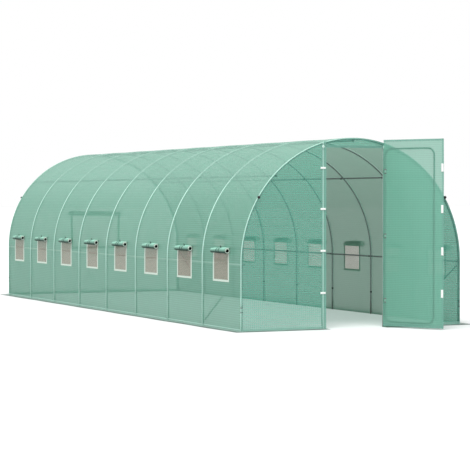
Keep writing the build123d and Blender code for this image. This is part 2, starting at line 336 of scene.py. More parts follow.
def patch(
    place: Place,
    first: np.ndarray,
    second: np.ndarray,
    lift: np.ndarray | float = 0.0,
    keep: np.ndarray | None = None,
    uv: np.ndarray | None = None,
) -> Surface:
    """A cloth surface: place(first, second, lift) on a grid, facing the way that lift goes.

    Args:
        place: gives places for grids of the three values.
        first: grid of the first parameter.
        second: grid of the second parameter.
        lift: height off the base surface.
        keep: mask of the cells that stay.
        uv: UV pairs in metres, or None for (first, second).

    Returns:
        The surface.
    """
    raised = np.broadcast_to(np.asarray(lift, float), first.shape)
    points = place(first, second, raised)
    outward = place(first, second, raised + LIFT_PROBE) - points
    pairs = np.stack([first, second], -1) if uv is None else uv
    return Surface.grid(points, pairs, keep=keep).facing(outward)


def strip(
    place: Place,
    start: Pair,
    end: Pair,
    across: Pair,
    rings: tuple[int, int],
    lift: Callable[[np.ndarray, np.ndarray], np.ndarray | float],
) -> Surface:
    """A strip of cloth or tape on a surface: start + (end - start) t + across w, t and w from 0 to 1.

    Args:
        place: the surface that it lies on.
        start: the two parameters where one long edge starts.
        end: where that edge ends.
        across: from that edge to the other one.
        rings: points along it and across it.
        lift: its height off the surface, from grids of t and w.

    Returns:
        The strip, with UV pairs along and across it.
    """
    t, w = lattice(np.linspace(0, 1, rings[0]), np.linspace(0, 1, rings[1]))
    first, second = (a + (b - a) * t + c * w for a, b, c in zip(start, end, across))
    uv = np.stack([t * math.dist(start, end), w * math.hypot(*across)], -1)
    return patch(place, first, second, lift(t, w), uv=uv)


# shader nodes


class Board:
    """Places nodes in a shader tree and links them."""

    def __init__(self, tree: bpy.types.NodeTree) -> None:
        """Keep the tree."""
        self.tree = tree

    def feed(self, socket: Any, value: Any) -> None:
        """Link a socket to the input, or set the input's own value."""
        if isinstance(value, bpy.types.NodeSocket):
            self.tree.links.new(value, socket)
        else:
            socket.default_value = value

    def feed_all(self, node: bpy.types.Node, inputs: dict[str | int, Any]) -> None:
        """Feed inputs by place, or by name with underscores for spaces."""
        for name, value in inputs.items():
            self.feed(node.inputs[name.replace("_", " ") if isinstance(name, str) else name], value)

    def add(self, kind: str, **inputs: Any) -> bpy.types.Node:
        """Place a node and feed its inputs."""
        node = self.tree.nodes.new("ShaderNode" + kind)
        self.feed_all(node, inputs)
        return node

    def math(self, operation: str, first: Any, second: Any = 0.0, clamp: bool = False) -> Any:
        """One Math node's result."""
        node = self.add("Math")
        node.operation, node.use_clamp = operation, clamp
        self.feed_all(node, {0: first, 1: second})
        return node.outputs[0]

    def blend(self, factor: Any, first: Any, second: Any) -> Any:
        """Two colours mixed by a factor."""
        node = self.add("Mix")
        node.data_type = "RGBA"
        self.feed_all(node, {0: factor, 6: first, 7: second})
        return node.outputs[2]

    def mix(self, factor: Any, first: Any, second: Any) -> Any:
        """Two shaders mixed by a factor."""
        node = self.add("MixShader")
        self.feed_all(node, {0: factor, 1: first, 2: second})
        return node.outputs[0]

    def fade(self, value: Any, low: Any, high: Any, start: Any = 0.0, end: Any = 1.0) -> Any:
        """A smooth step: start up to low, end from high on."""
        node = self.add("MapRange", Value=value, From_Min=low, From_Max=high, To_Min=start, To_Max=end)
        node.interpolation_type = "SMOOTHSTEP"
        return node.outputs[0]

    def noise(self, where: Any, scale: Any, detail: float = 3.0) -> Any:
        """Cloudy noise from 0 to 1."""
        return self.add("TexNoise", Vector=where, Scale=scale, Detail=detail).outputs[0]

    def bump(self, height: Any, relief: Pair) -> Any:
        """A normal from a height, with a strength and a distance in metres."""
        return self.add("Bump", Height=height, Strength=relief[0], Distance=relief[1]).outputs[0]

    def cloth_uv(self) -> Any:
        """The piece's own UV pairs, in metres along the cloth."""
        node = self.add("UVMap")
        node.uv_map = UV_NAME
        return node.outputs[0]

    def place(self) -> Any:
        """Object coordinates."""
        return self.add("TexCoord").outputs["Object"]

    def press(self) -> Any:
        """The painted light of a piece: pale as painted highlight or hem line, and below 0 dark as painted
        shade.
        """
        node = self.add("Attribute")
        node.attribute_name = PAINTED_LIGHT_NAME
        return node.outputs["Fac"]

    def group(self, tree: bpy.types.NodeTree, where: Any, **values: float) -> Any:
        """Place a node group with its own values, and give its outputs."""
        node = self.add("Group")
        node.node_tree = tree
        self.feed_all(node, {"Vector": where, **values})
        return node.outputs

    def mottled(self, where: Any, scales: Pair) -> Any:
        """Place the group for patchy tone with its broad and small scales."""
        return self.group(mottle(), where, Broad_Scale=scales[0], Small_Scale=scales[1])


Sockets = dict[str, Any]


def shader_group(
    name: str, inputs: Sockets, outputs: Sequence[str], fill: Callable[[Board, Sockets], Sockets]
) -> bpy.types.NodeTree:
    """A shader node group, built once.

    Args:
        name: the group's name.
        inputs: default values by socket name; None makes a vector socket.
        outputs: names of the value outputs.
        fill: takes a Board and the group's input sockets, returns the sockets to put out.

    Returns:
        The group.
    """
    found = bpy.data.node_groups.get(name)
    if found is not None:
        return found
    group = bpy.data.node_groups.new(name, "ShaderNodeTree")
    for label, value in inputs.items():
        kind = "NodeSocketVector" if value is None else "NodeSocketFloat"
        socket = group.interface.new_socket(name=label, in_out="INPUT", socket_type=kind)
        if value is not None:
            socket.default_value = value
    for label in outputs:
        group.interface.new_socket(name=label, in_out="OUTPUT", socket_type="NodeSocketFloat")
    board = Board(group)
    entry = group.nodes.new("NodeGroupInput")
    leave = group.nodes.new("NodeGroupOutput")
    made = fill(board, {label: entry.outputs[label] for label in inputs})
    for label in outputs:
        board.feed(leave.inputs[label], made[label])
    return group


def woven_threads() -> bpy.types.NodeTree:
    """The group for woven threads both ways, a fine set and a heavier one.

    A thread lies where the distance to the nearest multiple of the pitch is under half its width,
    and its edge is soft from 0.6 to 1.4 of that half.

    Returns:
        The group.
    """
    soft, fine_height = (0.6, 1.4), 0.5

    def fill(board: Board, given: Sockets) -> Sockets:
        """Lay the threads of both sets along both UV directions."""
        split = board.add("SeparateXYZ", Vector=given["Vector"])

        def threads(kind: str) -> list[Any]:
            """One set of threads, across each of the two directions."""
            half = board.math("MULTIPLY", given[f"{kind} Width"], 0.5)
            edges = [board.math("MULTIPLY", half, share) for share in soft]
            ways = []
            for run in split.outputs[:2]:
                share = board.math("FRACT", board.math("DIVIDE", run, given[f"{kind} Pitch"]))
                away = board.math("ABSOLUTE", board.math("SUBTRACT", share, 0.5))
                ways.append(board.fade(away, *edges, 1.0, 0.0))
            return ways

        fine, heavy = threads("Fine"), threads("Heavy")
        both = [board.math("MAXIMUM", *ways) for ways in (fine, heavy)]
        height = board.math("ADD", board.math("MULTIPLY", both[0], fine_height), both[1], clamp=True)
        return {"Fine": both[0], "Heavy": both[1], "Rows": heavy[1], "Height": height}

    sizes = {"Fine Pitch": 0.009, "Fine Width": 0.4, "Heavy Pitch": 0.027, "Heavy Width": 0.2}
    outputs = ("Fine", "Heavy", "Rows", "Height")
    return shader_group("woven_threads", {"Vector": None, **sizes}, outputs, fill)


def mottle() -> bpy.types.NodeTree:
    """The group for patchy tone, dust and scuffs from two sizes of cloudy noise.

    Returns:
        The group.
    """
    broad_share, small_share = 0.6, 0.4
    dust, scuff = (0.52, 0.66), (0.6, 0.7)

    def fill(board: Board, given: Sockets) -> Sockets:
        """Mix broad and small clouds about a mean of 0.5."""
        broad = board.noise(given["Vector"], given["Broad Scale"], 2.0)
        small = board.noise(given["Vector"], given["Small Scale"], 4.0)
        parts = board.math("MULTIPLY", broad, broad_share), board.math("MULTIPLY", small, small_share)
        both = board.math("ADD", *parts)
        return {"Tone": both, "Dust": board.fade(both, *dust), "Scuff": board.fade(small, *scuff)}

    sockets = {"Vector": None, "Broad Scale": 1.5, "Small Scale": 14.0}
    return shader_group("mottle", sockets, ("Tone", "Dust", "Scuff"), fill)


def stitch_rows() -> bpy.types.NodeTree:
    """The group for rows of stitches along both edges of a tape.

    A stitch lies where the distance from an edge is the inset, over part of each stitch length.

    Returns:
        The group.
    """
    thread, sewn_share = (0.0006, 0.0014), 0.65

    def fill(board: Board, given: Sockets) -> Sockets:
        """Mark dashes along two lines."""
        split = board.add("SeparateXYZ", Vector=given["Vector"])
        far = board.math("SUBTRACT", given["Width"], split.outputs[1])
        edge = board.math("MINIMUM", split.outputs[1], far)
        off = board.math("ABSOLUTE", board.math("SUBTRACT", edge, given["Inset"]))
        line = board.fade(off, *thread, 1.0, 0.0)
        dash = board.math("FRACT", board.math("DIVIDE", split.outputs[0], given["Length"]))
        stitch = board.math("MULTIPLY", line, board.math("LESS_THAN", dash, sewn_share))
        return {"Stitch": stitch, "Row": line}

    sockets = {"Vector": None, "Width": 0.035, "Inset": 0.005, "Length": 0.006}
    return shader_group("stitch_rows", sockets, ("Stitch", "Row"), fill)


# finishes


def solid(colour: Colour) -> tuple[float, float, float, float]:
    """A colour with full alpha, as sockets take it."""
    return (*colour, 1.0)


def scaled(colour: Colour, share: float) -> tuple[float, float, float, float]:
    """A colour made darker or lighter by a share."""
    return solid(tuple(min(1.0, c * share) for c in colour))


@dataclass(frozen=True)
class Finish:
    """A finish with a name; each kind fills a material of its own."""

    name: str

    def material(self) -> bpy.types.Material:
        """The finish as a material, made on first use.

        Returns:
            The material.
        """
        found = bpy.data.materials.get(self.name)
        if found is not None:
            return found
        made = bpy.data.materials.new(self.name)
        made.use_nodes = True
        made.node_tree.nodes.clear()
        board = Board(made.node_tree)
        board.feed(board.add("OutputMaterial").inputs[0], self.fill(board))
        return made

    def fill(self, board: Board) -> Any:
        """The shader that shows; each kind of finish gives its own."""
        raise NotImplementedError


@dataclass(frozen=True)
class WovenSheet(Finish):
    """Translucent woven sheet: threads both ways, light through it and small gaps between threads."""

    colour: Colour
    cover: float = 0.66
    through: float = 0.42
    roughness: float = 0.4
    gloss: float = 0.5
    pitch: float = 0.009
    heavy_pitch: float = 0.027
    density: float = 0.09
    ribs: float = 0.1
    # pale is painted highlight of lit tubes and lit sides, shaded is painted shade, and inside with
    # inside_cover paints faces seen from inside darker and denser as painted shade
    pale: Colour = (0.70, 1.0, 0.90)
    shaded: Colour = (0.03, 0.13, 0.10)
    inside_cover: float = 0.92
    inside: Colour = (0.165, 0.305, 0.235)
    shade: float = 0.76
    clouds: Pair = (0.9, 9.0)
    patchy: float = 0.35
    patch_tone: float = 0.86
    press_from: float = 0.25
    press_cover: float = 0.4
    relief: Pair = (0.25, 0.0008)

    def fill(self, board: Board) -> Any:
        """Threads set the tone and cover; the sheet is paler where light is painted and darker where shade
        is painted, and its inside faces show the camera a darker, denser tone as painted shade.

        Args:
            board: where the nodes go.

        Returns:
            The shader.
        """
        uv = board.cloth_uv()
        weave = board.group(woven_threads(), uv, Fine_Pitch=self.pitch, Heavy_Pitch=self.heavy_pitch)
        # painted light above 0 and painted shade below 0, read from the piece's point attribute
        lift = board.press()
        dim = board.math("MULTIPLY", lift, -1.0, clamp=True)
        path = board.add("LightPath").outputs
        behind = board.add("NewGeometry").outputs["Backfacing"]
        # painted shade: faces seen from inside by the camera
        inside = board.math("MULTIPLY", behind, path["Is Camera Ray"])
        rows = scaled(self.colour, 1 - self.ribs / 2), scaled(self.colour, 1 + self.ribs)
        tone = board.blend(weave["Rows"], *rows)
        patchy = board.math("MULTIPLY", board.mottled(uv, self.clouds)["Tone"], self.patchy)
        tone = board.blend(patchy, tone, scaled(self.colour, self.patch_tone))
        # pale as painted highlight, shaded as painted shade, the inside colour as painted shade on inside
        # faces
        for share, colour in ((lift, self.pale), (dim, self.shaded), (inside, self.inside)):
            tone = board.blend(share, tone, solid(colour))
        dense = board.math("ADD", weave["Fine"], weave["Heavy"])
        dense = board.math("MULTIPLY", board.math("SUBTRACT", dense, 1.0), self.density)
        for more in (
            board.fade(lift, self.press_from, 1.0, 0.0, self.press_cover),
            board.math("MULTIPLY", dim, self.press_cover),
            board.math("MULTIPLY", inside, self.inside_cover - self.cover),
        ):
            dense = board.math("ADD", dense, more)
        alpha = board.math("ADD", dense, self.cover, clamp=True)
        alpha = board.math("MAXIMUM", alpha, board.math("MULTIPLY", path["Is Shadow Ray"], self.shade))
        normal = board.bump(weave["Height"], self.relief)
        gloss = {"Roughness": self.roughness, "Specular_IOR_Level": self.gloss}
        face = board.add("BsdfPrincipled", Base_Color=tone, Normal=normal, **gloss)
        glow = board.add("BsdfTranslucent", Color=tone, Normal=normal)
        cloth = board.mix(self.through, face.outputs[0], glow.outputs[0])
        return board.mix(alpha, board.add("BsdfTransparent").outputs[0], cloth)


@dataclass(frozen=True)
class InsectScreen(Finish):
    """A fine net: threads both ways with open holes."""

    colour: Colour
    pitch: float = 0.0022
    cover: float = 0.52
    inside: float = 0.2
    fine_width: float = 0.34
    heavy_every: int = 8
    heavy_width: float = 0.1
    tones: Pair = (1.15, 0.8)
    hole_loss: float = 0.3
    thread_cover: float = 0.75
    roughness: float = 0.7
    clouds: Pair = (5.0, 40.0)
    relief: Pair = (0.3, 0.0005)

    def fill(self, board: Board) -> Any:
        """The holes take the share of the surface that the cover leaves.

        Args:
            board: where the nodes go.

        Returns:
            The shader.
        """
        uv = board.cloth_uv()
        fine = {"Fine_Pitch": self.pitch, "Fine_Width": self.fine_width}
        heavy = {"Heavy_Pitch": self.pitch * self.heavy_every, "Heavy_Width": self.heavy_width}
        net = board.group(woven_threads(), uv, **fine, **heavy)["Height"]
        light, dark = (scaled(self.colour, share) for share in self.tones)
        tone = board.blend(board.mottled(uv, self.clouds)["Tone"], light, dark)
        alpha = board.math("MULTIPLY", net, self.thread_cover)
        alpha = board.math("ADD", alpha, self.cover - self.hole_loss)
        behind = board.add("NewGeometry").outputs["Backfacing"]
        alpha = board.math("ADD", alpha, board.math("MULTIPLY", behind, self.inside), clamp=True)
        face = board.add("BsdfPrincipled", Base_Color=tone, Alpha=alpha, Roughness=self.roughness)
        board.feed(face.inputs["Normal"], board.bump(net, self.relief))
        return face.outputs[0]


@dataclass(frozen=True)
class SewnTape(Finish):
    """Woven tape with rows of stitches along its edges."""

    colour: Colour
    width: float
    thread: Colour = (0.5, 0.55, 0.5)
    roughness: float = 0.65
    scuffed: float = 0.15
    pitch: float = 0.0016
    fine_width: float = 0.6
    heavy_every: int = 4
    inset: float = 0.005
    inset_share: float = 0.2
    gap_tone: float = 0.9
    dusty: float = 0.4
    dust_tone: float = 0.78
    clouds: Pair = (3.0, 45.0)
    relief: Pair = (0.4, 0.0006)

    def fill(self, board: Board) -> Any:
        """Stitches and threads over patchy tone.

        Args:
            board: where the nodes go.

        Returns:
            The shader.
        """
        uv = board.cloth_uv()
        sizes = {"Fine_Width": self.fine_width, "Heavy_Pitch": self.pitch * self.heavy_every}
        weave = board.group(woven_threads(), uv, Fine_Pitch=self.pitch, **sizes)
        inset = min(self.inset, self.width * self.inset_share)
        rows = board.group(stitch_rows(), uv, Width=self.width, Inset=inset)
        clouds = board.mottled(uv, self.clouds)
        tone = board.blend(weave["Fine"], scaled(self.colour, self.gap_tone), solid(self.colour))
        dust = board.math("MULTIPLY", clouds["Dust"], self.dusty)
        tone = board.blend(dust, tone, scaled(self.colour, self.dust_tone))
        tone = board.blend(rows["Stitch"], tone, solid(self.thread))
        height = board.math("SUBTRACT", weave["Height"], rows["Row"])
        rough = board.math("ADD", board.math("MULTIPLY", clouds["Scuff"], self.scuffed), self.roughness)
        face = board.add("BsdfPrincipled", Base_Color=tone, Roughness=rough)
        board.feed(face.inputs["Normal"], board.bump(height, self.relief))
        return face.outputs[0]


@dataclass(frozen=True)
class ZincTube(Finish):
    """Galvanised, zinc-plated or painted steel: pale spangle, dull streaks, grime towards the ground."""

    colour: Colour
    metal: float = 0.55
    roughness: float = 0.38
    rough_range: float = 0.25
    rough_low: float = 0.1
    spangle: float = 90.0
    crystals: Pair = (0.88, 1.1)
    # painted light: the colour of a tube's side towards the cover
    painted_lit_side: Colour = (0.66, 0.74, 0.70)
    dusty: float = 0.3
    dust_tone: float = 0.72
    grime: Colour = (0.2, 0.19, 0.15)
    grime_heights: Pair = (0.02, 0.35)
    grime_most: float = 0.55
    clouds: Pair = (4.0, 60.0)
    relief: Pair = (0.05, 0.0004)

    def fill(self, board: Board) -> Any:
        """Crystal cells and noise over the base tone, grimy by the ground, pale as painted light on the
        side towards the cover.

        Args:
            board: where the nodes go.

        Returns:
            The shader.
        """
        where = board.place()
        cells = board.add("TexVoronoi", Vector=where, Scale=self.spangle).outputs["Color"]
        crystal = board.add("SeparateColor", Color=cells).outputs[0]
        clouds = board.mottled(where, self.clouds)
        height = board.add("SeparateXYZ", Vector=where).outputs[2]
        low = board.fade(height, *self.grime_heights, self.grime_most, 0.0)
        dark, light = (scaled(self.colour, share) for share in self.crystals)
        tone = board.blend(crystal, dark, light)
        dust = board.math("MULTIPLY", clouds["Dust"], self.dusty)
        tone = board.blend(dust, tone, scaled(self.colour, self.dust_tone))
        tone = board.blend(board.math("MULTIPLY", low, clouds["Tone"]), tone, solid(self.grime))
        tone = board.blend(board.press(), tone, solid(self.painted_lit_side))
        rough = board.math("MULTIPLY", clouds["Tone"], self.rough_range)
        rough = board.math("ADD", rough, self.roughness - self.rough_low)
        face = board.add("BsdfPrincipled", Base_Color=tone, Roughness=rough, Metallic=self.metal)
        board.feed(face.inputs["Normal"], board.bump(crystal, self.relief))
        return face.outputs[0]


@dataclass(frozen=True)
class MouldedPlastic(Finish):
    """Moulded plastic with a fine grain, patches where it fades, and light scuffs."""

    colour: Colour
    fade_and_painted_light: Colour
    roughness: float = 0.45
    scuffed: float = 0.2
    grain: float = 900.0
    clouds: Pair = (18.0, 160.0)
    relief: Pair = (0.12, 0.0003)

    def fill(self, board: Board) -> Any:
        """Grain in the normal, fading and scuffs in the tone and roughness.

        Args:
            board: where the nodes go.

        Returns:
            The shader.
        """
        where = board.place()
        clouds = board.mottled(where, self.clouds)
        tone = board.blend(clouds["Dust"], solid(self.colour), solid(self.fade_and_painted_light))
        rough = board.math("ADD", board.math("MULTIPLY", clouds["Scuff"], self.scuffed), self.roughness)
        face = board.add("BsdfPrincipled", Base_Color=tone, Roughness=rough)
        board.feed(face.inputs["Normal"], board.bump(board.noise(where, self.grain), self.relief))
        return face.outputs[0]


@dataclass(frozen=True)
class StudioFloor(Finish):
    """A plain pale floor that takes the shadow and throws little light back up."""

    colour: Colour
    bounce: float = 0.66
    grain: float = 0.7
    grain_tone: float = 0.995
    roughness: float = 0.9
    gloss: float = 0.1

    def fill(self, board: Board) -> Any:
        """One even pale tone with a trace of grain, darker to all but the camera.

        Args:
            board: where the nodes go.

        Returns:
            The shader.
        """
        grain = board.noise(board.place(), self.grain)
        tone = board.blend(grain, solid(self.colour), scaled(self.colour, self.grain_tone))
        seen = board.add("LightPath").outputs["Is Camera Ray"]
        tone = board.blend(seen, scaled(self.colour, self.bounce), tone)
        gloss = {"Roughness": self.roughness, "Specular_IOR_Level": self.gloss}
        return board.add("BsdfPrincipled", Base_Color=tone, **gloss).outputs[0]


MINT: Colour = (0.21, 0.51, 0.39)
# Faces seen from inside take each sheet's inside colour and cover, a darker tone as painted shade, on all
# but the door sheet.
COVER = WovenSheet("cover_weave", MINT)
END_SHEET = WovenSheet("end_weave", (0.18, 0.66, 0.51), cover=0.41)
BACK_SHEET = WovenSheet("back_weave", MINT, inside_cover=0.82, inside=(0.185, 0.40, 0.305))
DOOR_SHEET = WovenSheet(
    "door_weave",
    MINT,
    cover=0.80,
    through=0.36,
    heavy_pitch=0.022,
    inside_cover=0.80,
    inside=MINT,
    shade=0.95,
)
HEM = WovenSheet("hem_weave", (0.25, 0.53, 0.44), cover=0.72, through=0.3, inside_cover=0.72)
# dark base colour, kept at the flap's outer edge as painted shadow; by the wall it turns pale
GROUND_FLAP = WovenSheet(
    "ground_flap_weave", (0.12, 0.17, 0.15), cover=0.95, through=0.1, pale=(0.22, 0.32, 0.28), gloss=0.2
)
# The rolled flap: the dark base colour is painted shade beneath the roll, pale is painted light on its
# top, and the near-black inside is painted shade in its core.
FLAP = WovenSheet(
    "flap_weave",
    (0.012, 0.052, 0.036),
    cover=1.0,
    through=0.03,
    pale=(0.31, 0.62, 0.49),
    gloss=0.08,
    inside_cover=1.0,
    inside=(0.004, 0.010, 0.008),
)
NET = InsectScreen("window_net", (0.38, 0.33, 0.27), cover=0.66)
BACK_NET = InsectScreen("back_window_net", (0.25, 0.41, 0.33), cover=0.82, inside=0.0)
BORDER = SewnTape("pale_tape", (0.66, 0.78, 0.69), 0.035)
WEBBING = SewnTape("white_webbing", (0.88, 0.89, 0.87), 0.024)
TIE = SewnTape("tie_ribbon", (0.012, 0.05, 0.035), 0.022, thread=(0.03, 0.1, 0.07))
HOOP_ZINC = ZincTube("hoop_zinc", (0.20, 0.235, 0.225), metal=0.75, roughness=0.3)
POST_ZINC = ZincTube("post_zinc", (0.36, 0.46, 0.42), metal=0.4)
PURLIN_ZINC = ZincTube("purlin_zinc", (0.13, 0.14, 0.14), metal=0.6)
DOOR_ZINC = ZincTube("door_zinc", (0.20, 0.21, 0.21), metal=0.6)
HINGE_PAINT = ZincTube("hinge_paint", (0.20, 0.42, 0.33), metal=0.15, roughness=0.45, spangle=240.0)
BLACK = MouldedPlastic("black_plastic", (0.012, 0.013, 0.013), (0.05, 0.052, 0.05))
CAP_PLASTIC = MouldedPlastic("cap_plastic", (0.62, 0.84, 0.76), (0.5, 0.7, 0.62))
FLOOR = StudioFloor("pale_floor", (0.71, 0.71, 0.71))


# pieces


def make_piece(
    name: str,
    made: Surface | Sequence[Surface],
    finish: Finish,
    nodes: Sequence[str] = (),
    body: Body = Body.TUNNEL,
) -> bpy.types.Object:
    """One or more surfaces as a named piece that rides on a body.

    Args:
        name: the piece's name.
        made: its points, faces and UV pairs.
        finish: what it is dressed in.
        nodes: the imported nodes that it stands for.
        body: the body that it moves with.

    Returns:
        The piece, smooth on its quads and flat on its end faces.
    """
    surface = made if isinstance(made, Surface) else Surface.joined(made)
    mesh = bpy.data.meshes.new(name)
    faces = surface.quads.tolist() + [cap.tolist() for cap in surface.caps]
    mesh.from_pydata(surface.points.tolist(), [], faces)
    layer = mesh.uv_layers.new(name=UV_NAME)
    spare = sum(len(cap) for cap in surface.caps)
    pairs = np.concatenate([surface.uv.reshape(-1, 2), np.zeros((spare, 2))])
    layer.data.foreach_set("uv", pairs.astype(np.float32).ravel())
    if surface.press is not None:
        press = mesh.attributes.new(PAINTED_LIGHT_NAME, "FLOAT", "POINT")
        press.data.foreach_set("value", surface.press.astype(np.float32))
    mesh.polygons.foreach_set("use_smooth", np.arange(len(faces)) < len(surface.quads))
    mesh.update()
    mesh.validate()
    piece = bpy.data.objects.new(name, mesh)
    bpy.context.scene.collection.objects.link(piece)
    mesh.materials.append(finish.material())
    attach(piece, body.value)
    if nodes:
        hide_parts(*nodes)
    LOG.info("%s: %d faces on %s", name, len(faces), body.value)
    return piece


def thicken(piece: bpy.types.Object, thickness: float) -> None:
    """Give a ribbon its thickness, outwards."""
    wall = piece.modifiers.new("thickness", "SOLIDIFY")
    wall.thickness, wall.offset = thickness, 1.0


def middle_of(node: str) -> list[float]:
    """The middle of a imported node's box: half the sum of its corners."""
    return [(low + high) / 2 for low, high in zip(*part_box(node))]


@dataclass(frozen=True)
class Sizes:
    """The tunnel's sizes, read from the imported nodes, in metres.

    Attributes:
        front: y of the front hoop's middle.
        bay: from one hoop to the next.
        hoops: how many hoops there are.
        radius: of the hoops' middle line.
        leg: height of a hoop's straight legs.
        rail: radius of a purlin's or rail's tube.
        cover: radius of the cover sheet over the hoops.
        end: how far the end sheets stand from an end hoop's middle.
        post: x of the door posts.
        post_top: height of the door posts.
        latch_edge: x of the cloth's edge at the latch post.
        hinge_edge: x of the cloth's edge at the hinge post.
        lintel: height of the cloth's edge over the doorway.
        hinge: y of the hinge axis.
        opening: how far the door stands open, in radians.
        tube: radius of a hoop's tube.
    """

    front: float
    bay: float
    hoops: int
    radius: float
    leg: float
    rail: float
    cover: float
    end: float
    post: float
    post_top: float
    latch_edge: float
    hinge_edge: float
    lintel: float
    hinge: float
    opening: float
    tube: float = 0.012

    @classmethod
    def read(cls, frame: dict[str, Any], cover_gap: float = 0.001) -> Sizes:
        """Take the sizes from the boxes of the nodes and the door's joint.

        Args:
            cover_gap: from the hoops to the cover.

        Returns:
            The sizes.
        """
        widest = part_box("hoop_1")[1]
        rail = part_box("ridge_purlin")
        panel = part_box("front_left_panel")[1]
        joint = frame["joints"][0]
        front = middle_of("hoop_1")[1]
        return cls(
            front=front,
            bay=middle_of("hoop_2")[1] - front,
            hoops=sum(name.startswith("hoop_") for name in frame["nodes"]),
            radius=widest.x - cls.tube,
            leg=widest.z - widest.x,
            rail=(rail[1].z - rail[0].z) / 2,
            cover=widest.x + cover_gap,
            end=front - panel.y,
            post=middle_of("hinge_post")[0],
            post_top=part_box("hinge_post")[1].z,
            latch_edge=panel.x,
            hinge_edge=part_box("front_right_panel")[0].x,
            lintel=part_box("doorway_top_panel")[0].z,
            hinge=joint["pos_m"][1],
            opening=-math.radians(joint["range_deg"][0]),
        )

    @property
    def back(self) -> float:
        """The y of the back hoop's middle."""
        return self.front + self.bay * (self.hoops - 1)

    @property
    def run(self) -> float:
        """The cover's length over the arch, from ground to ground."""
        return 2 * self.leg + math.pi * self.cover

    def hoop_places(self) -> np.ndarray:
        """The y of each hoop."""
        return self.front + self.bay * np.arange(self.hoops)

    def arch(self, s: np.ndarray, radius: float) -> tuple[np.ndarray, np.ndarray, np.ndarray, np.ndarray]:
        """The arch at a run up from the left foot: up the leg, round the half circle, down the leg.

        Args:
            s: lengths along the arch.
            radius: of the half circle.

        Returns:
            x, z, and the outward direction's x and z.
        """
        turn = np.clip((s - self.leg) / radius, 0, np.pi)
        out_x, out_z = -np.cos(turn), np.sin(turn)
        left = np.minimum(s - self.leg, 0)
        right = np.minimum(self.leg + np.pi * radius - s, 0)
        return radius * out_x, self.leg + radius * out_z + left + right, out_x, out_z

    def top(self, x: np.ndarray) -> np.ndarray:
        """Height of the cover's arch over an x."""
        return self.leg + np.sqrt(np.maximum(self.cover**2 - np.asarray(x) ** 2, 0))

    def inset(self, x: np.ndarray, z: np.ndarray) -> np.ndarray:
        """How far inside the cover's arch a place on an end is."""
        return self.cover - np.hypot(x, np.maximum(z - self.leg, 0))

    def painted_hoop_light(self, x: np.ndarray) -> np.ndarray:
        """How an end hoop shows at an x: painted light, 1, on the left and painted shade, -0.8, on the
        right.
        """
        return 1.8 * ramp(x / self.cover, 0.25, -0.15) - 0.8


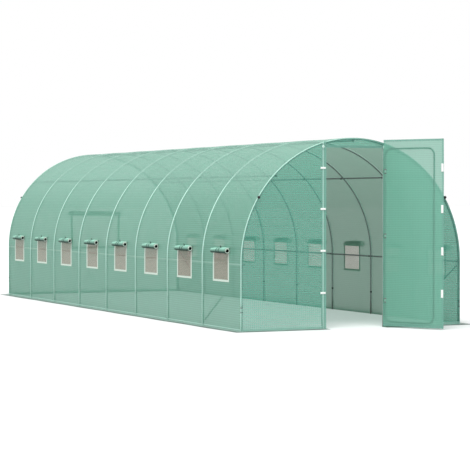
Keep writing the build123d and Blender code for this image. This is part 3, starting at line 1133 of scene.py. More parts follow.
@dataclass
class Framework:
    """Hoops, purlins, side rails, braces, door posts and what joins them.

    A profile is pairs of height and radius, a band is half a thickness and half a width.
    """

    sizes: Sizes
    # painted light: how far the pale lit side reaches round a tube
    painted_lit_side: float = 0.2
    brace_inset: float = 0.011
    brace_end: float = 0.06
    brace_press: Pair = (0.055, 0.025)
    brace_flat: Pair = (0.35, 0.72)
    joint_height: float = 0.30
    ring_heights: Pair = (0.225, 0.28)
    knob_angle: float = 31.6
    knob_inset: float = 0.005
    cap_height: float = 2.2
    cap_gap: float = 0.002
    clip_gap: float = 0.0012
    clip_band: Pair = (0.0011, 0.009)
    clip_cuts: int = 20
    nut: Profile = ((0.0, 0.0075), (0.005, 0.0075), (0.0055, 0.004), (0.010, 0.004), (0.0108, 0.003))
    sleeve: Profile = ((-0.011, 0.0118), (-0.010, 0.01235), (0.010, 0.01235), (0.011, 0.0118))
    ring: Profile = ((-0.006, 0.0135), (-0.005, 0.0155), (0.005, 0.0155), (0.006, 0.0135))
    stem: Profile = ((0.0, 0.008), (0.006, 0.008))
    dome: Profile = ((0.0065, 0.015), (0.012, 0.018), (0.020, 0.0175), (0.026, 0.0140), (0.028, 0.007))
    button: Profile = ((0.0, 0.014), (0.0035, 0.0175), (0.007, 0.0175), (0.010, 0.0150), (0.0115, 0.009))
    purlins: tuple[str, ...] = ("ridge_purlin", "left_purlin", "right_purlin")
    rails: tuple[str, ...] = ("left_side_rail", "right_side_rail")

    def paint_lit_side(self, made: Surface) -> Surface:
        """A tube painted pale on the side towards the cover, as painted light, by distance from the arch's
        axis.

        Args:
            made: the tube.

        Returns:
            The same tube with its press.
        """
        away = np.hypot(made.points[:, 0], np.maximum(made.points[:, 2] - self.sizes.leg, 0))
        middle, half = (away.max() + away.min()) / 2, (away.max() - away.min()) / 2
        made.press = np.clip((away - middle) / half + self.painted_lit_side, 0, 1)
        return made

    def hoop(self, y: float) -> Surface:
        """One hoop: a round tube along leg, half circle and leg.

        Args:
            y: its place along the tunnel.

        Returns:
            The tube.
        """
        z = self.sizes
        total = 2 * z.leg + math.pi * z.radius
        s = stops((0, z.leg, 4), (z.leg, total - z.leg, 64), (total - z.leg, total, 4))
        x, height, _, _ = z.arch(s, z.radius)
        return self.paint_lit_side(tube(np.stack([x, np.full_like(x, y), height], -1), z.tube, ALONG_Y))

    def straight(self, node: str) -> Surface:
        """A round tube along Y through the middle of a node's box, with two rings to each hoop.

        Args:
            node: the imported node.

        Returns:
            The tube.
        """
        x, _, height = middle_of(node)
        ends = [(x, corner.y, height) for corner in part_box(node)]
        return rod(*ends, self.sizes.rail, 12, 2 * self.sizes.hoops)

    def brace(self, node: str) -> Surface:
        """A brace: a round tube whose ends are pressed flat, by oval radii that ease in.

        Args:
            node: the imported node, whose box it crosses from corner to corner.

        Returns:
            The tube.
        """
        low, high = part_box(node)
        x, rail, inset = middle_of(node)[0], self.sizes.rail, self.brace_inset
        foot, head, step = (low.y, high.y, inset) if "back" in node else (high.y, low.y, -inset)
        start = np.array([x, foot + step, low.z + inset])
        end = np.array([x, head - step, high.z - inset])
        near, far = self.brace_end, 1 - self.brace_end
        share = stops((0, near, 4), (near, far, 2), (far, 1, 4))
        flat = ease(np.minimum(share, 1 - share), *self.brace_press)
        wider, thinner = self.brace_flat
        radii = rail * np.stack([1 + wider * flat, 1 - thinner * flat], -1)
        return tube(start + (end - start) * share[:, None], radii, ALONG_X)

    def build(self) -> None:
        """Make and dress every tube and fitting."""
        z = self.sizes
        names = [f"hoop_{k + 1}" for k in range(z.hoops)]
        make_piece("hoop_tubes", [self.hoop(y) for y in z.hoop_places()], HOOP_ZINC, names)
        braces = [f"{end}_{side}_brace" for end in ("front", "back") for side in ("left", "right")]
        for name, nodes, tubes in (
            ("purlin_tubes", self.purlins, [self.straight(node) for node in self.purlins]),
            ("side_rail_tubes", self.rails, [self.paint_lit_side(self.straight(node)) for node in self.rails]),
            ("brace_tubes", braces, [self.paint_lit_side(self.brace(node)) for node in braces]),
        ):
            make_piece(name, tubes, PURLIN_ZINC, nodes)
        feet = [(side.value * z.post, z.front) for side in Side]
        posts = [rod((*foot, 0), (*foot, z.post_top), z.tube, 16, 12) for foot in feet]
        make_piece("door_post_tubes", posts, POST_ZINC, ("latch_post", "hinge_post"))
        height = middle_of("door_header")[2]
        ends = [(corner.x, z.front, height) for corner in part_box("door_header")]
        bar = rod(*ends, z.rail, cuts=6)
        make_piece("door_header_tube", bar, PURLIN_ZINC, ("door_header",))
        self.build_fittings()

    def build_fittings(self) -> None:
        """Clips where purlins cross hoops, sleeves on the legs, knobs on the end hoops, post caps."""
        z = self.sizes
        legs = [side.value * z.radius for side in Side]
        turn, reach = math.radians(self.knob_angle), z.cover - self.knob_inset
        across, height = reach * math.cos(turn), z.leg + reach * math.sin(turn)
        ends = ((z.front - z.end, -1), (z.back + z.end, 1))
        clips = [self.clip(node, y) for node in self.purlins + self.rails for y in z.hoop_places()]
        sleeves = [
            lathe((x, y, self.joint_height), ALONG_Z, self.sleeve) for y in z.hoop_places() for x in legs
        ]
        rings = [
            lathe((x, y, level), ALONG_Z, self.ring)
            for y in (z.front, z.back)
            for x in legs
            for level in self.ring_heights
        ]
        knob = self.stem + self.dome
        knobs = [lathe((x, y, height), (0, way, 0), knob) for x in (across, -across) for y, way in ends]
        for name, made in (
            ("purlin_clips", clips),
            ("leg_sleeves", sleeves),
            ("end_hoop_rings", rings),
            ("end_knobs", knobs),
        ):
            make_piece(name, made, BLACK)
        y = z.front - z.end - self.cap_gap
        caps = [lathe((side.value * z.post, y, self.cap_height), (0, -1, 0), self.button) for side in Side]
        make_piece("post_caps", caps, CAP_PLASTIC)

    def clip(self, node: str, y: float) -> Surface:
        """A clamp round a purlin: a flat band, turned about it, with a nut on the side away from the hoop.

        Args:
            node: the purlin or rail.
            y: the hoop's place.

        Returns:
            Band and nut.
        """
        x, _, height = middle_of(node)
        place = np.array([x, y, height])
        inward = unit(np.array([-x, 0.0, min(self.sizes.leg - height, 0.0)]))
        radius = self.sizes.rail + self.clip_gap
        angle = (2 * np.pi * np.arange(self.clip_cuts) / self.clip_cuts)[:, None]
        ring = np.cos(angle) * inward + np.sin(angle) * np.cross(ALONG_Y, inward)
        band = tube(place + radius * ring, [self.clip_band], ALONG_Y, 8, closed=True)
        return Surface.joined([band, lathe(place + inward * radius, inward, self.nut, 6)])


@dataclass(frozen=True)
class GroundFlap:
    """A strip of sheet on the ground: flat by the wall, with ripples that grow to its outer edge.

    Attributes:
        inner: place of its inner edge, along X for a side and along Y for an end.
        way: 1 or -1, from the inner edge outwards.
        width: from edge to edge.
        beside: True on a long side.
        base: height of the flat part.
        rise: height of the ripples.
        ripples: share, rate, phase and lean of each sine.
        drawn: how far the outer edge is drawn in at most.
        drawn_wave: rate and phase of that.
        tuck: how far it reaches under the wall.
        turn_up: height at the wall.
        shadow_edge: from the first share of the way out to the second, going in, it turns pale; further
            out it keeps its dark colour as painted shadow at its edge.
    """

    inner: float
    way: int
    width: float
    beside: bool
    base: float
    rise: float
    ripples: tuple[tuple[float, float, float, float], ...]
    drawn: float = 0.0
    drawn_wave: Pair = (4.3, 0.7)
    tuck: float = 0.002
    turn_up: float = 0.004
    shadow_edge: Pair = (0.75, 0.45)

    def place(self, along: np.ndarray, out: np.ndarray, lift: np.ndarray) -> np.ndarray:
        """Ripples are a sum of sines along the flap, times the square of the way out.

        Args:
            along: place along the wall.
            out: share of the way to the outer edge.
            lift: height on top.

        Returns:
            The places.
        """
        waves = (k * np.sin(along * rate + phase + lean * out) for k, rate, phase, lean in self.ripples)
        swell = 0.5 + sum(waves)
        height = self.base + self.rise * swell * out**2 + self.turn_up * (1 - out) ** 6
        rate, phase = self.drawn_wave
        pull = self.drawn * out * (0.5 + 0.5 * np.sin(along * rate + phase))
        off = self.inner + self.way * (self.width * out - self.tuck * (1 - out) - pull)
        return np.stack([*((off, along) if self.beside else (along, off)), height + lift], -1)

    def surface(self, start: float, end: float, cuts: int) -> Surface:
        """The flap between two places along the wall.

        Args:
            start: the first place.
            end: the last place.
            cuts: points along it.

        Returns:
            The surface, pale by the wall and dark at its outer edge as painted shadow.
        """
        along, out = lattice(np.linspace(start, end, cuts), np.linspace(0, 1, 7))
        made = patch(self.place, along, out, uv=np.stack([along, out * self.width], -1))
        # painted shadow at the outer edge, pale by the wall
        made.press = ramp(out, *self.shadow_edge).ravel()
        return made


@dataclass
class CoverSheet:
    """The one sheet over the hoops, its windows cut through, and the flaps on the ground.

    Lines are places where a tube behind shows as painted light, and at the right end as painted shade;
    ranges are lengths up from the ground along the arch.
    """

    sizes: Sizes
    roof_sag: float = 0.004
    wall_sag: float = 0.003
    crease: float = 0.0012
    creases: float = 3.0
    crease_lean: Pair = (0.35, 1.7)
    crease_rate: float = 2.3
    hem: float = 0.03
    foot_trim: float = 0.010
    hoop_strip: float = 0.028
    line_edge: float = 0.018
    line_soft: float = 0.008
    end_edge: float = 0.004
    wall_line: float = 0.6
    wall_range: Pair = (0.3, 0.9)
    roof_loss: float = 0.68
    roof_range: Pair = (1.6, 2.2)
    rail_line: float = 0.3
    rail_edge: Pair = (0.8, 0.4)
    foot_line: float = 0.65
    foot_middle: float = 0.625
    foot_edge: Pair = (0.375, 0.125)
    # painted light from above: how pale the roof gets
    roof_light: float = 0.17
    roof_light_range: Pair = (1.3, 2.1)

    def __post_init__(self) -> None:
        """Read the window openings and the side rail from the left side's boxes."""
        low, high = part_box("left_window_screens")
        z = self.sizes
        self.window_half = (high.y - low.y - z.bay * (z.hoops - 2)) / 2
        self.sill = low.z - self.foot_trim
        self.lintel = z.leg + z.cover * math.asin((high.z - z.leg) / z.cover)
        self.middles = z.front + z.bay * (np.arange(z.hoops - 1) + 0.5)
        x, _, height = middle_of("left_side_rail")
        self.rail = z.leg + z.cover * math.atan2(height - z.leg, -x)

    def place(self, y: np.ndarray, s: np.ndarray, lift: np.ndarray) -> np.ndarray:
        """The sheet in its place.

        From hoop to hoop the sheet sinks by a squared sine, deepest on the ridge, and shallow
        creases run up it; lift stands off along the arch's outward direction.

        Args:
            y: places along the tunnel.
            s: lengths along the arch.
            lift: heights off the sheet.

        Returns:
            The places.
        """
        z = self.sizes
        x, height, out_x, out_z = z.arch(s, z.cover)
        share = np.clip((y - z.front) / z.bay, 0, z.hoops - 1)
        slack = np.sin(np.pi * share) ** 2
        depth = self.wall_sag + (self.roof_sag - self.wall_sag) * out_z**2
        lean, rate = self.crease_lean
        waves = np.sin(2 * np.pi * (share * self.creases + lean * np.sin(s * rate)))
        waves = waves * np.cos(s * self.crease_rate + share)
        off = lift - slack * (depth + self.crease * waves)
        return np.stack([x + off * out_x, y, height + off * out_z], -1)

    def rows(self) -> np.ndarray:
        """Places up the arch for the sheet's grid, with lines on the sills, lintels and side rails.

        Returns:
            Rising lengths along the arch.
        """
        run = self.sizes.run
        left = stops((0, self.hem, 4), (self.hem, self.sill, 7), (self.sill, self.lintel, 7))
        edge, core = self.rail_edge
        left = np.append(left, self.rail + self.line_edge * np.array([-edge, -core, core, edge]))
        roof = np.linspace(self.lintel, run - self.lintel, 77)
        return merged(left, roof, run - left, digits=FINE_DIGITS)

    def columns(self) -> np.ndarray:
        """Places along the tunnel: close together at the hoops, with lines on the window edges.

        Returns:
            Rising places along Y.
        """
        z, half = self.sizes, self.sizes.bay / 2
        near, edge = self.hoop_strip, half - self.window_half
        side = stops((0, near, 6), (near, edge, 6), (edge, half, 5))
        bay = merged(side, z.bay - side, digits=FINE_DIGITS)
        starts = z.front + z.bay * np.arange(z.hoops - 1)
        ends = [z.front - z.end, z.front - z.end / 2, z.back + z.end / 2, z.back + z.end]
        return merged((starts[:, None] + bay).ravel(), ends)

    def tints(self, y: np.ndarray, s: np.ndarray) -> np.ndarray:
        """How pale or dark the sheet is.

        A hoop shows as a painted highlight, most on the shoulder, less by the ground and least over the
        roof, by two smooth steps multiplied; an end hoop is painted light on the left and painted shade on
        the right.
        Between hoops the sheet is pale at its foot as a hem line, over the side rail as a painted
        highlight and on the roof as painted light from above: the largest of two humps and a smooth step.

        Args:
            y: places along the tunnel.
            s: lengths along the arch.

        Returns:
            The press of each place.
        """
        z = self.sizes
        up = np.minimum(s, z.run - s)
        strength = self.wall_line + (1 - self.wall_line) * ease(up, *self.wall_range)
        strength = strength * (1 - self.roof_loss * ease(up, *self.roof_range))
        gap = np.abs(y[..., None] - z.hoop_places()).min(-1)
        # painted highlight of the hoops behind; at the ends painted light on the left and painted shade on
        # the right
        line = np.clip((self.line_edge - gap) / self.line_soft, 0, 1) * strength
        inward = np.minimum(y - z.front, z.back - y)
        end_line = np.clip((self.end_edge - inward) / self.line_soft, 0, 1)
        end_line = end_line * z.painted_hoop_light(z.arch(s, z.cover)[0])
        line = np.where(inward < z.bay / 2, end_line, line)
        # pale hem line at the foot, painted highlight over the side rail, painted light on the roof
        foot = self.foot_line * ramp(np.abs(up / self.hem - self.foot_middle), *self.foot_edge)
        rail = self.rail_line * ramp(np.abs(up - self.rail) / self.line_edge, *self.rail_edge)
        fade_and_painted_light = self.roof_light * ease(up, *self.roof_light_range)
        between = np.maximum(np.maximum(foot, rail), fade_and_painted_light)
        return np.where(line < 0, line, np.maximum(line, between))

    def build(self) -> None:
        """Make the sheet, cut where a window is, and its ground flaps."""
        z = self.sizes
        y, s = lattice(self.columns(), self.rows())
        mid_y, mid_s = (y[1:, 1:] + y[:-1, :-1]) / 2, (s[1:, 1:] + s[:-1, :-1]) / 2
        near = np.abs(mid_y[..., None] - self.middles).min(-1) < self.window_half
        up = np.minimum(mid_s, z.run - mid_s)
        made = patch(self.place, y, s, keep=~(near & (up > self.sill) & (up < self.lintel)))
        made.press = self.tints(y, s).ravel()
        nodes = [f"{side}_{part}_cover" for side in ("left", "right") for part in ("wall", "roof")]
        sheet = make_piece("cover_sheet", made, COVER, nodes)
        flat = (z.back - z.front + 2 * z.end, z.run)
        for side in Side:
            self.build_flap(side)

    def build_flap(self, side: Side) -> None:
        """Make the ground flap of one side.

        Args:
            side: which side.
        """
        name = f"{side.name.lower()}_skirt"
        low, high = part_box(name)
        inner, width = high.x if side is Side.LEFT else low.x, high.x - low.x
        ripples = ((0.28, 7.1, 0.0, 1.0), (0.22, 17.3, 1.3, 2.0))
        flap = GroundFlap(inner, side.value, width, True, 0.0012, 0.0075, ripples, drawn=0.012)
        made = flap.surface(low.y, high.y, 260)
        piece = make_piece(f"{name}_sheet", made, GROUND_FLAP, (name,))


@dataclass
class EndSheets:
    """The front and back end sheets with their hems, straps and ground flaps."""

    sizes: Sizes
    seat: float = 0.0008
    billow: float = 0.0055
    billow_low: float = 0.75
    billow_rates: tuple[float, float, float] = (5.1, 2.2, 3.3)
    arch_flat: float = 0.03
    arch_reach: float = 0.16
    foot_reach: float = 0.2
    post_reach: float = 0.13
    hem: float = 0.04
    hem_lift: float = 0.0012
    hem_edge: float = 0.6
    hem_gap: float = 0.002
    foot: float = 0.034
    foot_faded: float = 0.22
    top_hem: float = 0.028
    edge_steps: tuple[float, ...] = (0.0, 0.005, 0.009, 0.015, 0.022, 0.030, 0.040, 0.052)
    post_steps: tuple[float, ...] = (-0.014, -0.009, 0.0, 0.009, 0.014)
    row_power: float = 0.9
    hoop_pale: Pair = (0.010, 0.005)
    hoop_dark: float = 0.030
    dark_edge: Pair = (0.015, 0.005)
    post_edge: Pair = (0.013, 0.003)
    strap_tall: float = 0.024
    strap_thick: float = 0.0014
    strap_lift: Pair = (0.0028, 0.0016)
    strap_shares: tuple[float, ...] = (0.0, 0.337, 0.672, 1.0)

    def front(self, x: np.ndarray, z: np.ndarray, lift: np.ndarray) -> np.ndarray:
        """The front end: flat against its hoop and posts, and bulging out between them.

        Args:
            x: places across.
            z: heights.
            lift: distances off the sheet.

        Returns:
            The places.
        """
        s = self.sizes
        post = 1 - np.exp(-(((np.abs(x) - s.post) / self.post_reach) ** 2))
        return np.stack([x, s.front - s.end - self.seat - lift - self.bulge(x, z) * post, z], -1)

    def back(self, x: np.ndarray, z: np.ndarray, lift: np.ndarray) -> np.ndarray:
        """The back end: flat against its hoop, and bulging out inside it."""
        s = self.sizes
        return np.stack([x, s.back + s.end + self.seat + lift + self.bulge(x, z), z], -1)

    def bulge(self, x: np.ndarray, z: np.ndarray) -> np.ndarray:
        """How far a sheet stands out: none at the arch and the ground, and waves in the open field.

        Args:
            x: places across.
            z: heights.

        Returns:
            Distances: two falls that die away, multiplied, times a product of sines.
        """
        inside = np.maximum(self.sizes.inset(x, z) - self.arch_flat, 0)
        share = (1 - np.exp(-inside / self.arch_reach)) * (1 - np.exp(-z / self.foot_reach))
        over, up, fade = self.billow_rates
        wave = np.sin(over * x + up * z) * np.cos(fade * z)
        return self.billow * share * (self.billow_low + (1 - self.billow_low) * wave)

    def region(
        self,
        place: Place,
        span: Pair,
        low: float,
        high: float | None,
        steps: tuple[int, int],
        posts: bool = False,
    ) -> Surface:
        """Part of an end sheet between two x, from a height up to another or to the arch.

        Args:
            place: the end that it belongs to.
            span: lowest and highest x.
            low: height of its lower edge.
            high: height of its upper edge, or None for the arch.
            steps: cells across and up.
            posts: True if the sheet lies over the door posts.

        Returns:
            The surface, with the tubes behind it as painted light in press: pale on the left and over the
            door posts, dark as painted shade on the right.
        """
        s = self.sizes
        edge = np.array(self.edge_steps)
        turn = np.linspace(*np.arccos(np.clip(-np.array(span) / s.cover, -1, 1)), steps[0] + 1)
        lines = np.append(s.post + np.array(self.post_steps), s.cover - edge[1:])
        lines = np.concatenate([lines, -lines])
        x = merged(-s.cover * np.cos(turn), lines[(lines > span[0]) & (lines < span[1])])
        upper = s.top(x) - edge[-1] if high is None else np.full_like(x, high)
        share = np.linspace(0, 1, steps[1] + 1)[:, None] ** self.row_power
        height = low + (upper - low) * share
        if high is None:
            height = np.concatenate([height[:-1], s.top(x) - edge[::-1, None]])
        x, height = np.broadcast_to(x, height.shape).T.copy(), height.T.copy()
        made = patch(place, x, height)
        # painted light of the end hoop behind, pale on the left and a dark line on the right as painted
        # shade, and a painted highlight over the door posts
        gap, sun = s.inset(x, height), s.painted_hoop_light(x)
        pale, dark = ramp(gap, *self.hoop_pale), ramp(np.abs(gap - self.hoop_dark), *self.dark_edge)
        press = sun * np.where(sun > 0, pale, dark)
        if posts:
            post = ramp(np.abs(np.abs(x) - s.post), *self.post_edge)
            press = np.where(post > 0, np.maximum(press, post), press)
        made.press = press.ravel()
        return made

    def make_sheet(self, node: str, parts: list[Surface], finish: Finish, flat: Pair) -> None:
        """Args:
            node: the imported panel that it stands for.
            parts: its regions.
            finish: of the sheet.
            flat: width and height of its cut.
        """
        made = Surface.joined(parts)
        piece = make_piece(f"{node.replace('top_panel', 'top')}_sheet", made, finish, (node,))
        area = min(made.area(), flat[0] * flat[1])

    def build(self) -> None:
        """Make the panels, hems, straps and flaps; the back has four regions round its window."""
        s = self.sizes
        for name, span in (("left", (-s.cover, s.latch_edge)), ("right", (s.hinge_edge, s.cover))):
            made = self.region(self.front, span, 0.0, None, (26, 40), posts=True)
            flat = (span[1] - span[0], float(s.top(min(-span[0], span[1]))))
            self.make_sheet(f"front_{name}_panel", [made], END_SHEET, flat)
        made = self.region(self.front, (s.latch_edge, s.hinge_edge), s.lintel, None, (14, 4))
        ridge = s.leg + s.cover
        flat = (s.hinge_edge - s.latch_edge, ridge - s.lintel)
        self.make_sheet("doorway_top_panel", [made], END_SHEET, flat)
        low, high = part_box("back_window_screen")
        parts = [
            self.region(self.back, (-s.cover, low.x), 0.0, None, (22, 40)),
            self.region(self.back, (high.x, s.cover), 0.0, None, (22, 40)),
            self.region(self.back, (low.x, high.x), 0.0, low.z, (12, 12)),
            self.region(self.back, (low.x, high.x), high.z, None, (12, 16)),
        ]
        self.make_sheet("back_panel", parts, BACK_SHEET, (2 * s.cover, ridge))
        self.build_hems()
        self.build_straps()
        self.build_flaps()

    def band(
        self, place: Place, start: Pair, end: Pair, across: Pair, cuts: int, press: Pair = (0.0, 0.0)
    ) -> Surface:
        """A hem: a doubled strip along a line on an end.

        Args:
            place: the end.
            start: x and height where its outer edge starts.
            end: where that edge ends.
            across: from there to its inner edge.
            cuts: points along it.
            press: how pale it is, and how pale its inner edge.

        Returns:
            The strip.
        """
        made = strip(place, start, end, across, (cuts, 4), lambda t, w: self.hem_lift)
        made.press = np.tile([press[0]] * 3 + [press[1]], cuts)
        return made

    def build_hems(self) -> None:
        """Hems down the doorway's edges, along the ground and over the doorway."""
        s = self.sizes
        up, fade_and_painted_light = (0, self.foot), (self.foot_faded, self.hem_edge)
        hems = []
        for edge in (s.latch_edge, s.hinge_edge):
            sign = math.copysign(1, edge)
            top = float(s.top(edge)) - self.hem_gap
            wide = (sign * self.hem, 0)
            hems.append(self.band(self.front, (edge, 0), (edge, top), wide, 40, (0.0, self.hem_edge)))
            hems.append(self.band(self.front, (edge + wide[0], 0), (sign * s.cover, 0), up, 24, fade_and_painted_light))
        ends = (s.latch_edge, s.lintel), (s.hinge_edge, s.lintel)
        hems.append(self.band(self.front, *ends, (0, self.top_hem), 24))
        hems.append(self.band(self.back, (-s.cover, 0), (s.cover, 0), up, 48, fade_and_painted_light))
        make_piece("end_hems", hems, HEM)

    def strap_bow(self, t: np.ndarray, w: np.ndarray) -> np.ndarray:
        """How far a strap stands off the sheet: bent back at its ends by a fourth power."""
        return self.strap_lift[0] + self.strap_lift[1] * (1 - (2 * t - 1) ** 4)

    def build_straps(self) -> None:
        """Hook-and-loop straps over the latch post."""
        low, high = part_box("post_straps")
        up = (0, self.strap_tall)
        straps = []
        for share in self.strap_shares:
            level = low.z + (high.z - low.z - self.strap_tall) * share
            straps.append(strip(self.front, (low.x, level), (high.x, level), up, (17, 5), self.strap_bow))
        piece = make_piece("post_strap_webbing", straps, WEBBING, ("post_straps",))
        thicken(piece, self.strap_thick)

    def build_flaps(self) -> None:
        """Ground flaps in front of the front end, beside the doorway, and behind the back end."""
        s = self.sizes
        ripples = ((0.3, 8.3, 0.0, 1.0), (0.2, 19.7, 0.4, 0.0))
        for node, way in (("front_skirts", -1), ("back_skirt", 1)):
            low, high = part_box(node)
            inner, width = high.y if way < 0 else low.y, high.y - low.y
            flap = GroundFlap(inner, way, width, False, 0.0014, 0.007, ripples)
            spans = [(low.x, s.latch_edge), (s.hinge_edge, high.x)] if way < 0 else [(low.x, high.x)]
            parts = [flap.surface(start, end, 70) for start, end in spans]
            piece = make_piece(f"{node}_sheet", parts, GROUND_FLAP, (node,))


@dataclass(frozen=True)
class Roll:
    """A window's flap, rolled up along its upper edge and looser at one end.

    The axis goes from start, the loose end, to end, and droops there. out points away from the wall,
    and wall is the axis's distance from it. Other sizes are shares of the length or the radius. A
    pinch is a depth and a reach, a crumple is a depth and its rates along and up, a tie_fit is a mean
    reach and how it grows outwards and upwards, and a band is half a thickness and half a width.
    """

    start: np.ndarray
    end: np.ndarray
    out: np.ndarray
    radius: float
    wall: float
    tight: float = 0.78
    droop: float = 0.004
    turns: float = 2.3
    core: float = 0.0205
    first: float = 100.0
    lead_rise: Pair = (1.2, 0.215)
    lead_cuts: int = 4
    cuts: tuple[int, int] = (66, 25)
    pinch: Pair = (0.035, 0.08)
    crumple: tuple[float, float, float] = (0.012, 23.0, 60.0)
    ties: Pair = (0.43, 0.59)
    tie_fit: tuple[float, float, float] = (0.955, 0.035, 0.055)
    ribbon: Pair = (0.0011, 0.011)
    tail: Pair = (0.024, 0.010)
    tail_band: Pair = (0.0045, 0.012)
    bound: float = 0.82
    bead: float = 0.0040
    # painted light: paler up the side and on the top; lower down the dark base colour stays as painted
    # shade
    side_light: tuple[float, float, float] = (0.55, 0.9, 0.62)
    top_light: tuple[float, float, float] = (0.38, 0.5, 0.8)

    @property
    def length(self) -> float:
        """The roll's length."""
        return float(np.linalg.norm(self.end - self.start))

    @property
    def way(self) -> np.ndarray:
        """The axis's direction."""
        return (self.end - self.start) / self.length

    @property
    def up(self) -> np.ndarray:
        """The direction up the wall."""
        side = np.cross(self.out, self.way)
        return side * np.sign(side[2])

    def size(self, share: np.ndarray | float) -> np.ndarray:
        """The section's size at a share of the length."""
        return 1 - (1 - self.tight) * np.asarray(share, float)

    def middle(self, share: np.ndarray | float) -> np.ndarray:
        """The axis at a share of the length: as near the wall as the size there lets it lie."""
        t = np.asarray(share, float)[..., None]
        inward = self.wall * (1 - self.size(t))
        return self.start + (self.end - self.start) * t - self.out * inward - self.up * self.droop * t

    def section(self) -> tuple[np.ndarray, np.ndarray]:
        """The flap's section at the loose end: from the wall over the top, then a spiral inwards.

        Returns:
            Distances out from the axis and up from it; the spiral's radius falls evenly with its angle.
        """
        turn = np.linspace(0, 2 * np.pi * self.turns, self.cuts[0])
        reach = self.radius - (self.radius - self.core) * turn / turn[-1]
        angle = math.radians(self.first) - turn
        lead = np.arange(self.lead_cuts) / self.lead_cuts
        lead_out = -self.wall + (self.wall + self.radius * math.cos(angle[0])) * lead
        lead_up = self.radius * (self.lead_rise[0] - self.lead_rise[1] * lead)
        return np.append(lead_out, reach * np.cos(angle)), np.append(lead_up, reach * np.sin(angle))

    def run(self) -> np.ndarray:
        """Lengths round the section, from the wall to the end of its spiral."""
        out, up = self.section()
        return np.append(0, np.cumsum(np.hypot(np.diff(out), np.diff(up))))

    def flap(self) -> Surface:
        """The rolled flap: its section carried along the axis, drawn in a little at the ties.

        Returns:
            The surface, paler towards its top as painted light and darker beneath as painted shade.
        """
        out, up = self.section()
        share = np.linspace(0, 1, self.cuts[1])[:, None]
        depth, reach = self.pinch
        wave, rate, lean = self.crumple
        grip = 1 - depth * sum(hump(share, tie, reach) for tie in self.ties)
        grip = grip + wave * np.sin(share * rate + up * lean)
        grip = np.where(np.arange(len(out)) < self.lead_cuts, 1.0, grip) * self.size(share)
        middle = self.middle(share[:, 0])[:, None]
        points = middle + (out * grip)[..., None] * self.out + (up * grip)[..., None] * self.up
        uv = np.stack(lattice(share[:, 0] * self.length, self.run()), -1)
        made = Surface.grid(points, uv).facing(points - middle)
        # painted light up the side and on the top, painted shade beneath
        high = up / self.radius
        base, slope, most = self.side_light
        extra, start, full = self.top_light
        fade_and_painted_light = np.clip(base + slope * high, 0, most) + extra * ramp(high, start, full)
        made.press = np.broadcast_to(fade_and_painted_light, grip.shape).ravel()
        return made

    def rim(self, share: float) -> Surface:
        """The binding on one of the flap's side edges: an oval bead along the rolled section.

        Args:
            share: which end, 0 or 1.

        Returns:
            The bead.
        """
        out, up = self.section()
        inner = np.hypot(out, up) < self.bound * self.radius
        size = float(self.size(share))
        path = self.middle(share) + size * (out[inner, None] * self.out + up[inner, None] * self.up)
        return tube(path, [(self.bead * size, self.bead)], self.way, 6)

    def tie(self, share: float) -> Surface:
        """A flat ribbon round the roll, the nearer one with a tail that stands up at its knot.

        Args:
            share: its place along the roll.

        Returns:
            The ribbon.
        """
        size, centre = float(self.size(share)) * self.radius, self.middle(share)
        angle = (2 * np.pi * np.arange(30) / 30)[:, None]
        mean, outer, upper = self.tie_fit
        reach = size * (mean + outer * np.cos(angle) + upper * np.sin(angle))
        ring = centre + reach * (np.cos(angle) * self.out + np.sin(angle) * self.up)
        band = tube(ring, [self.ribbon], self.way, 8, closed=True)
        if share != self.ties[0]:
            return band
        t = np.linspace(0, 1, 6)[:, None]
        tail = centre + self.up * (size + self.tail[0] * t) + self.out * self.tail[1] * t**2
        return Surface.joined([band, tube(tail, [self.tail_band], self.way, 8)])


@dataclass(frozen=True)
class Opening:
    """A window's hole in a wall: the wall, its middle and half width along it, lower and upper edge."""

    place: Place
    middle: float
    half: float
    low: float
    high: float


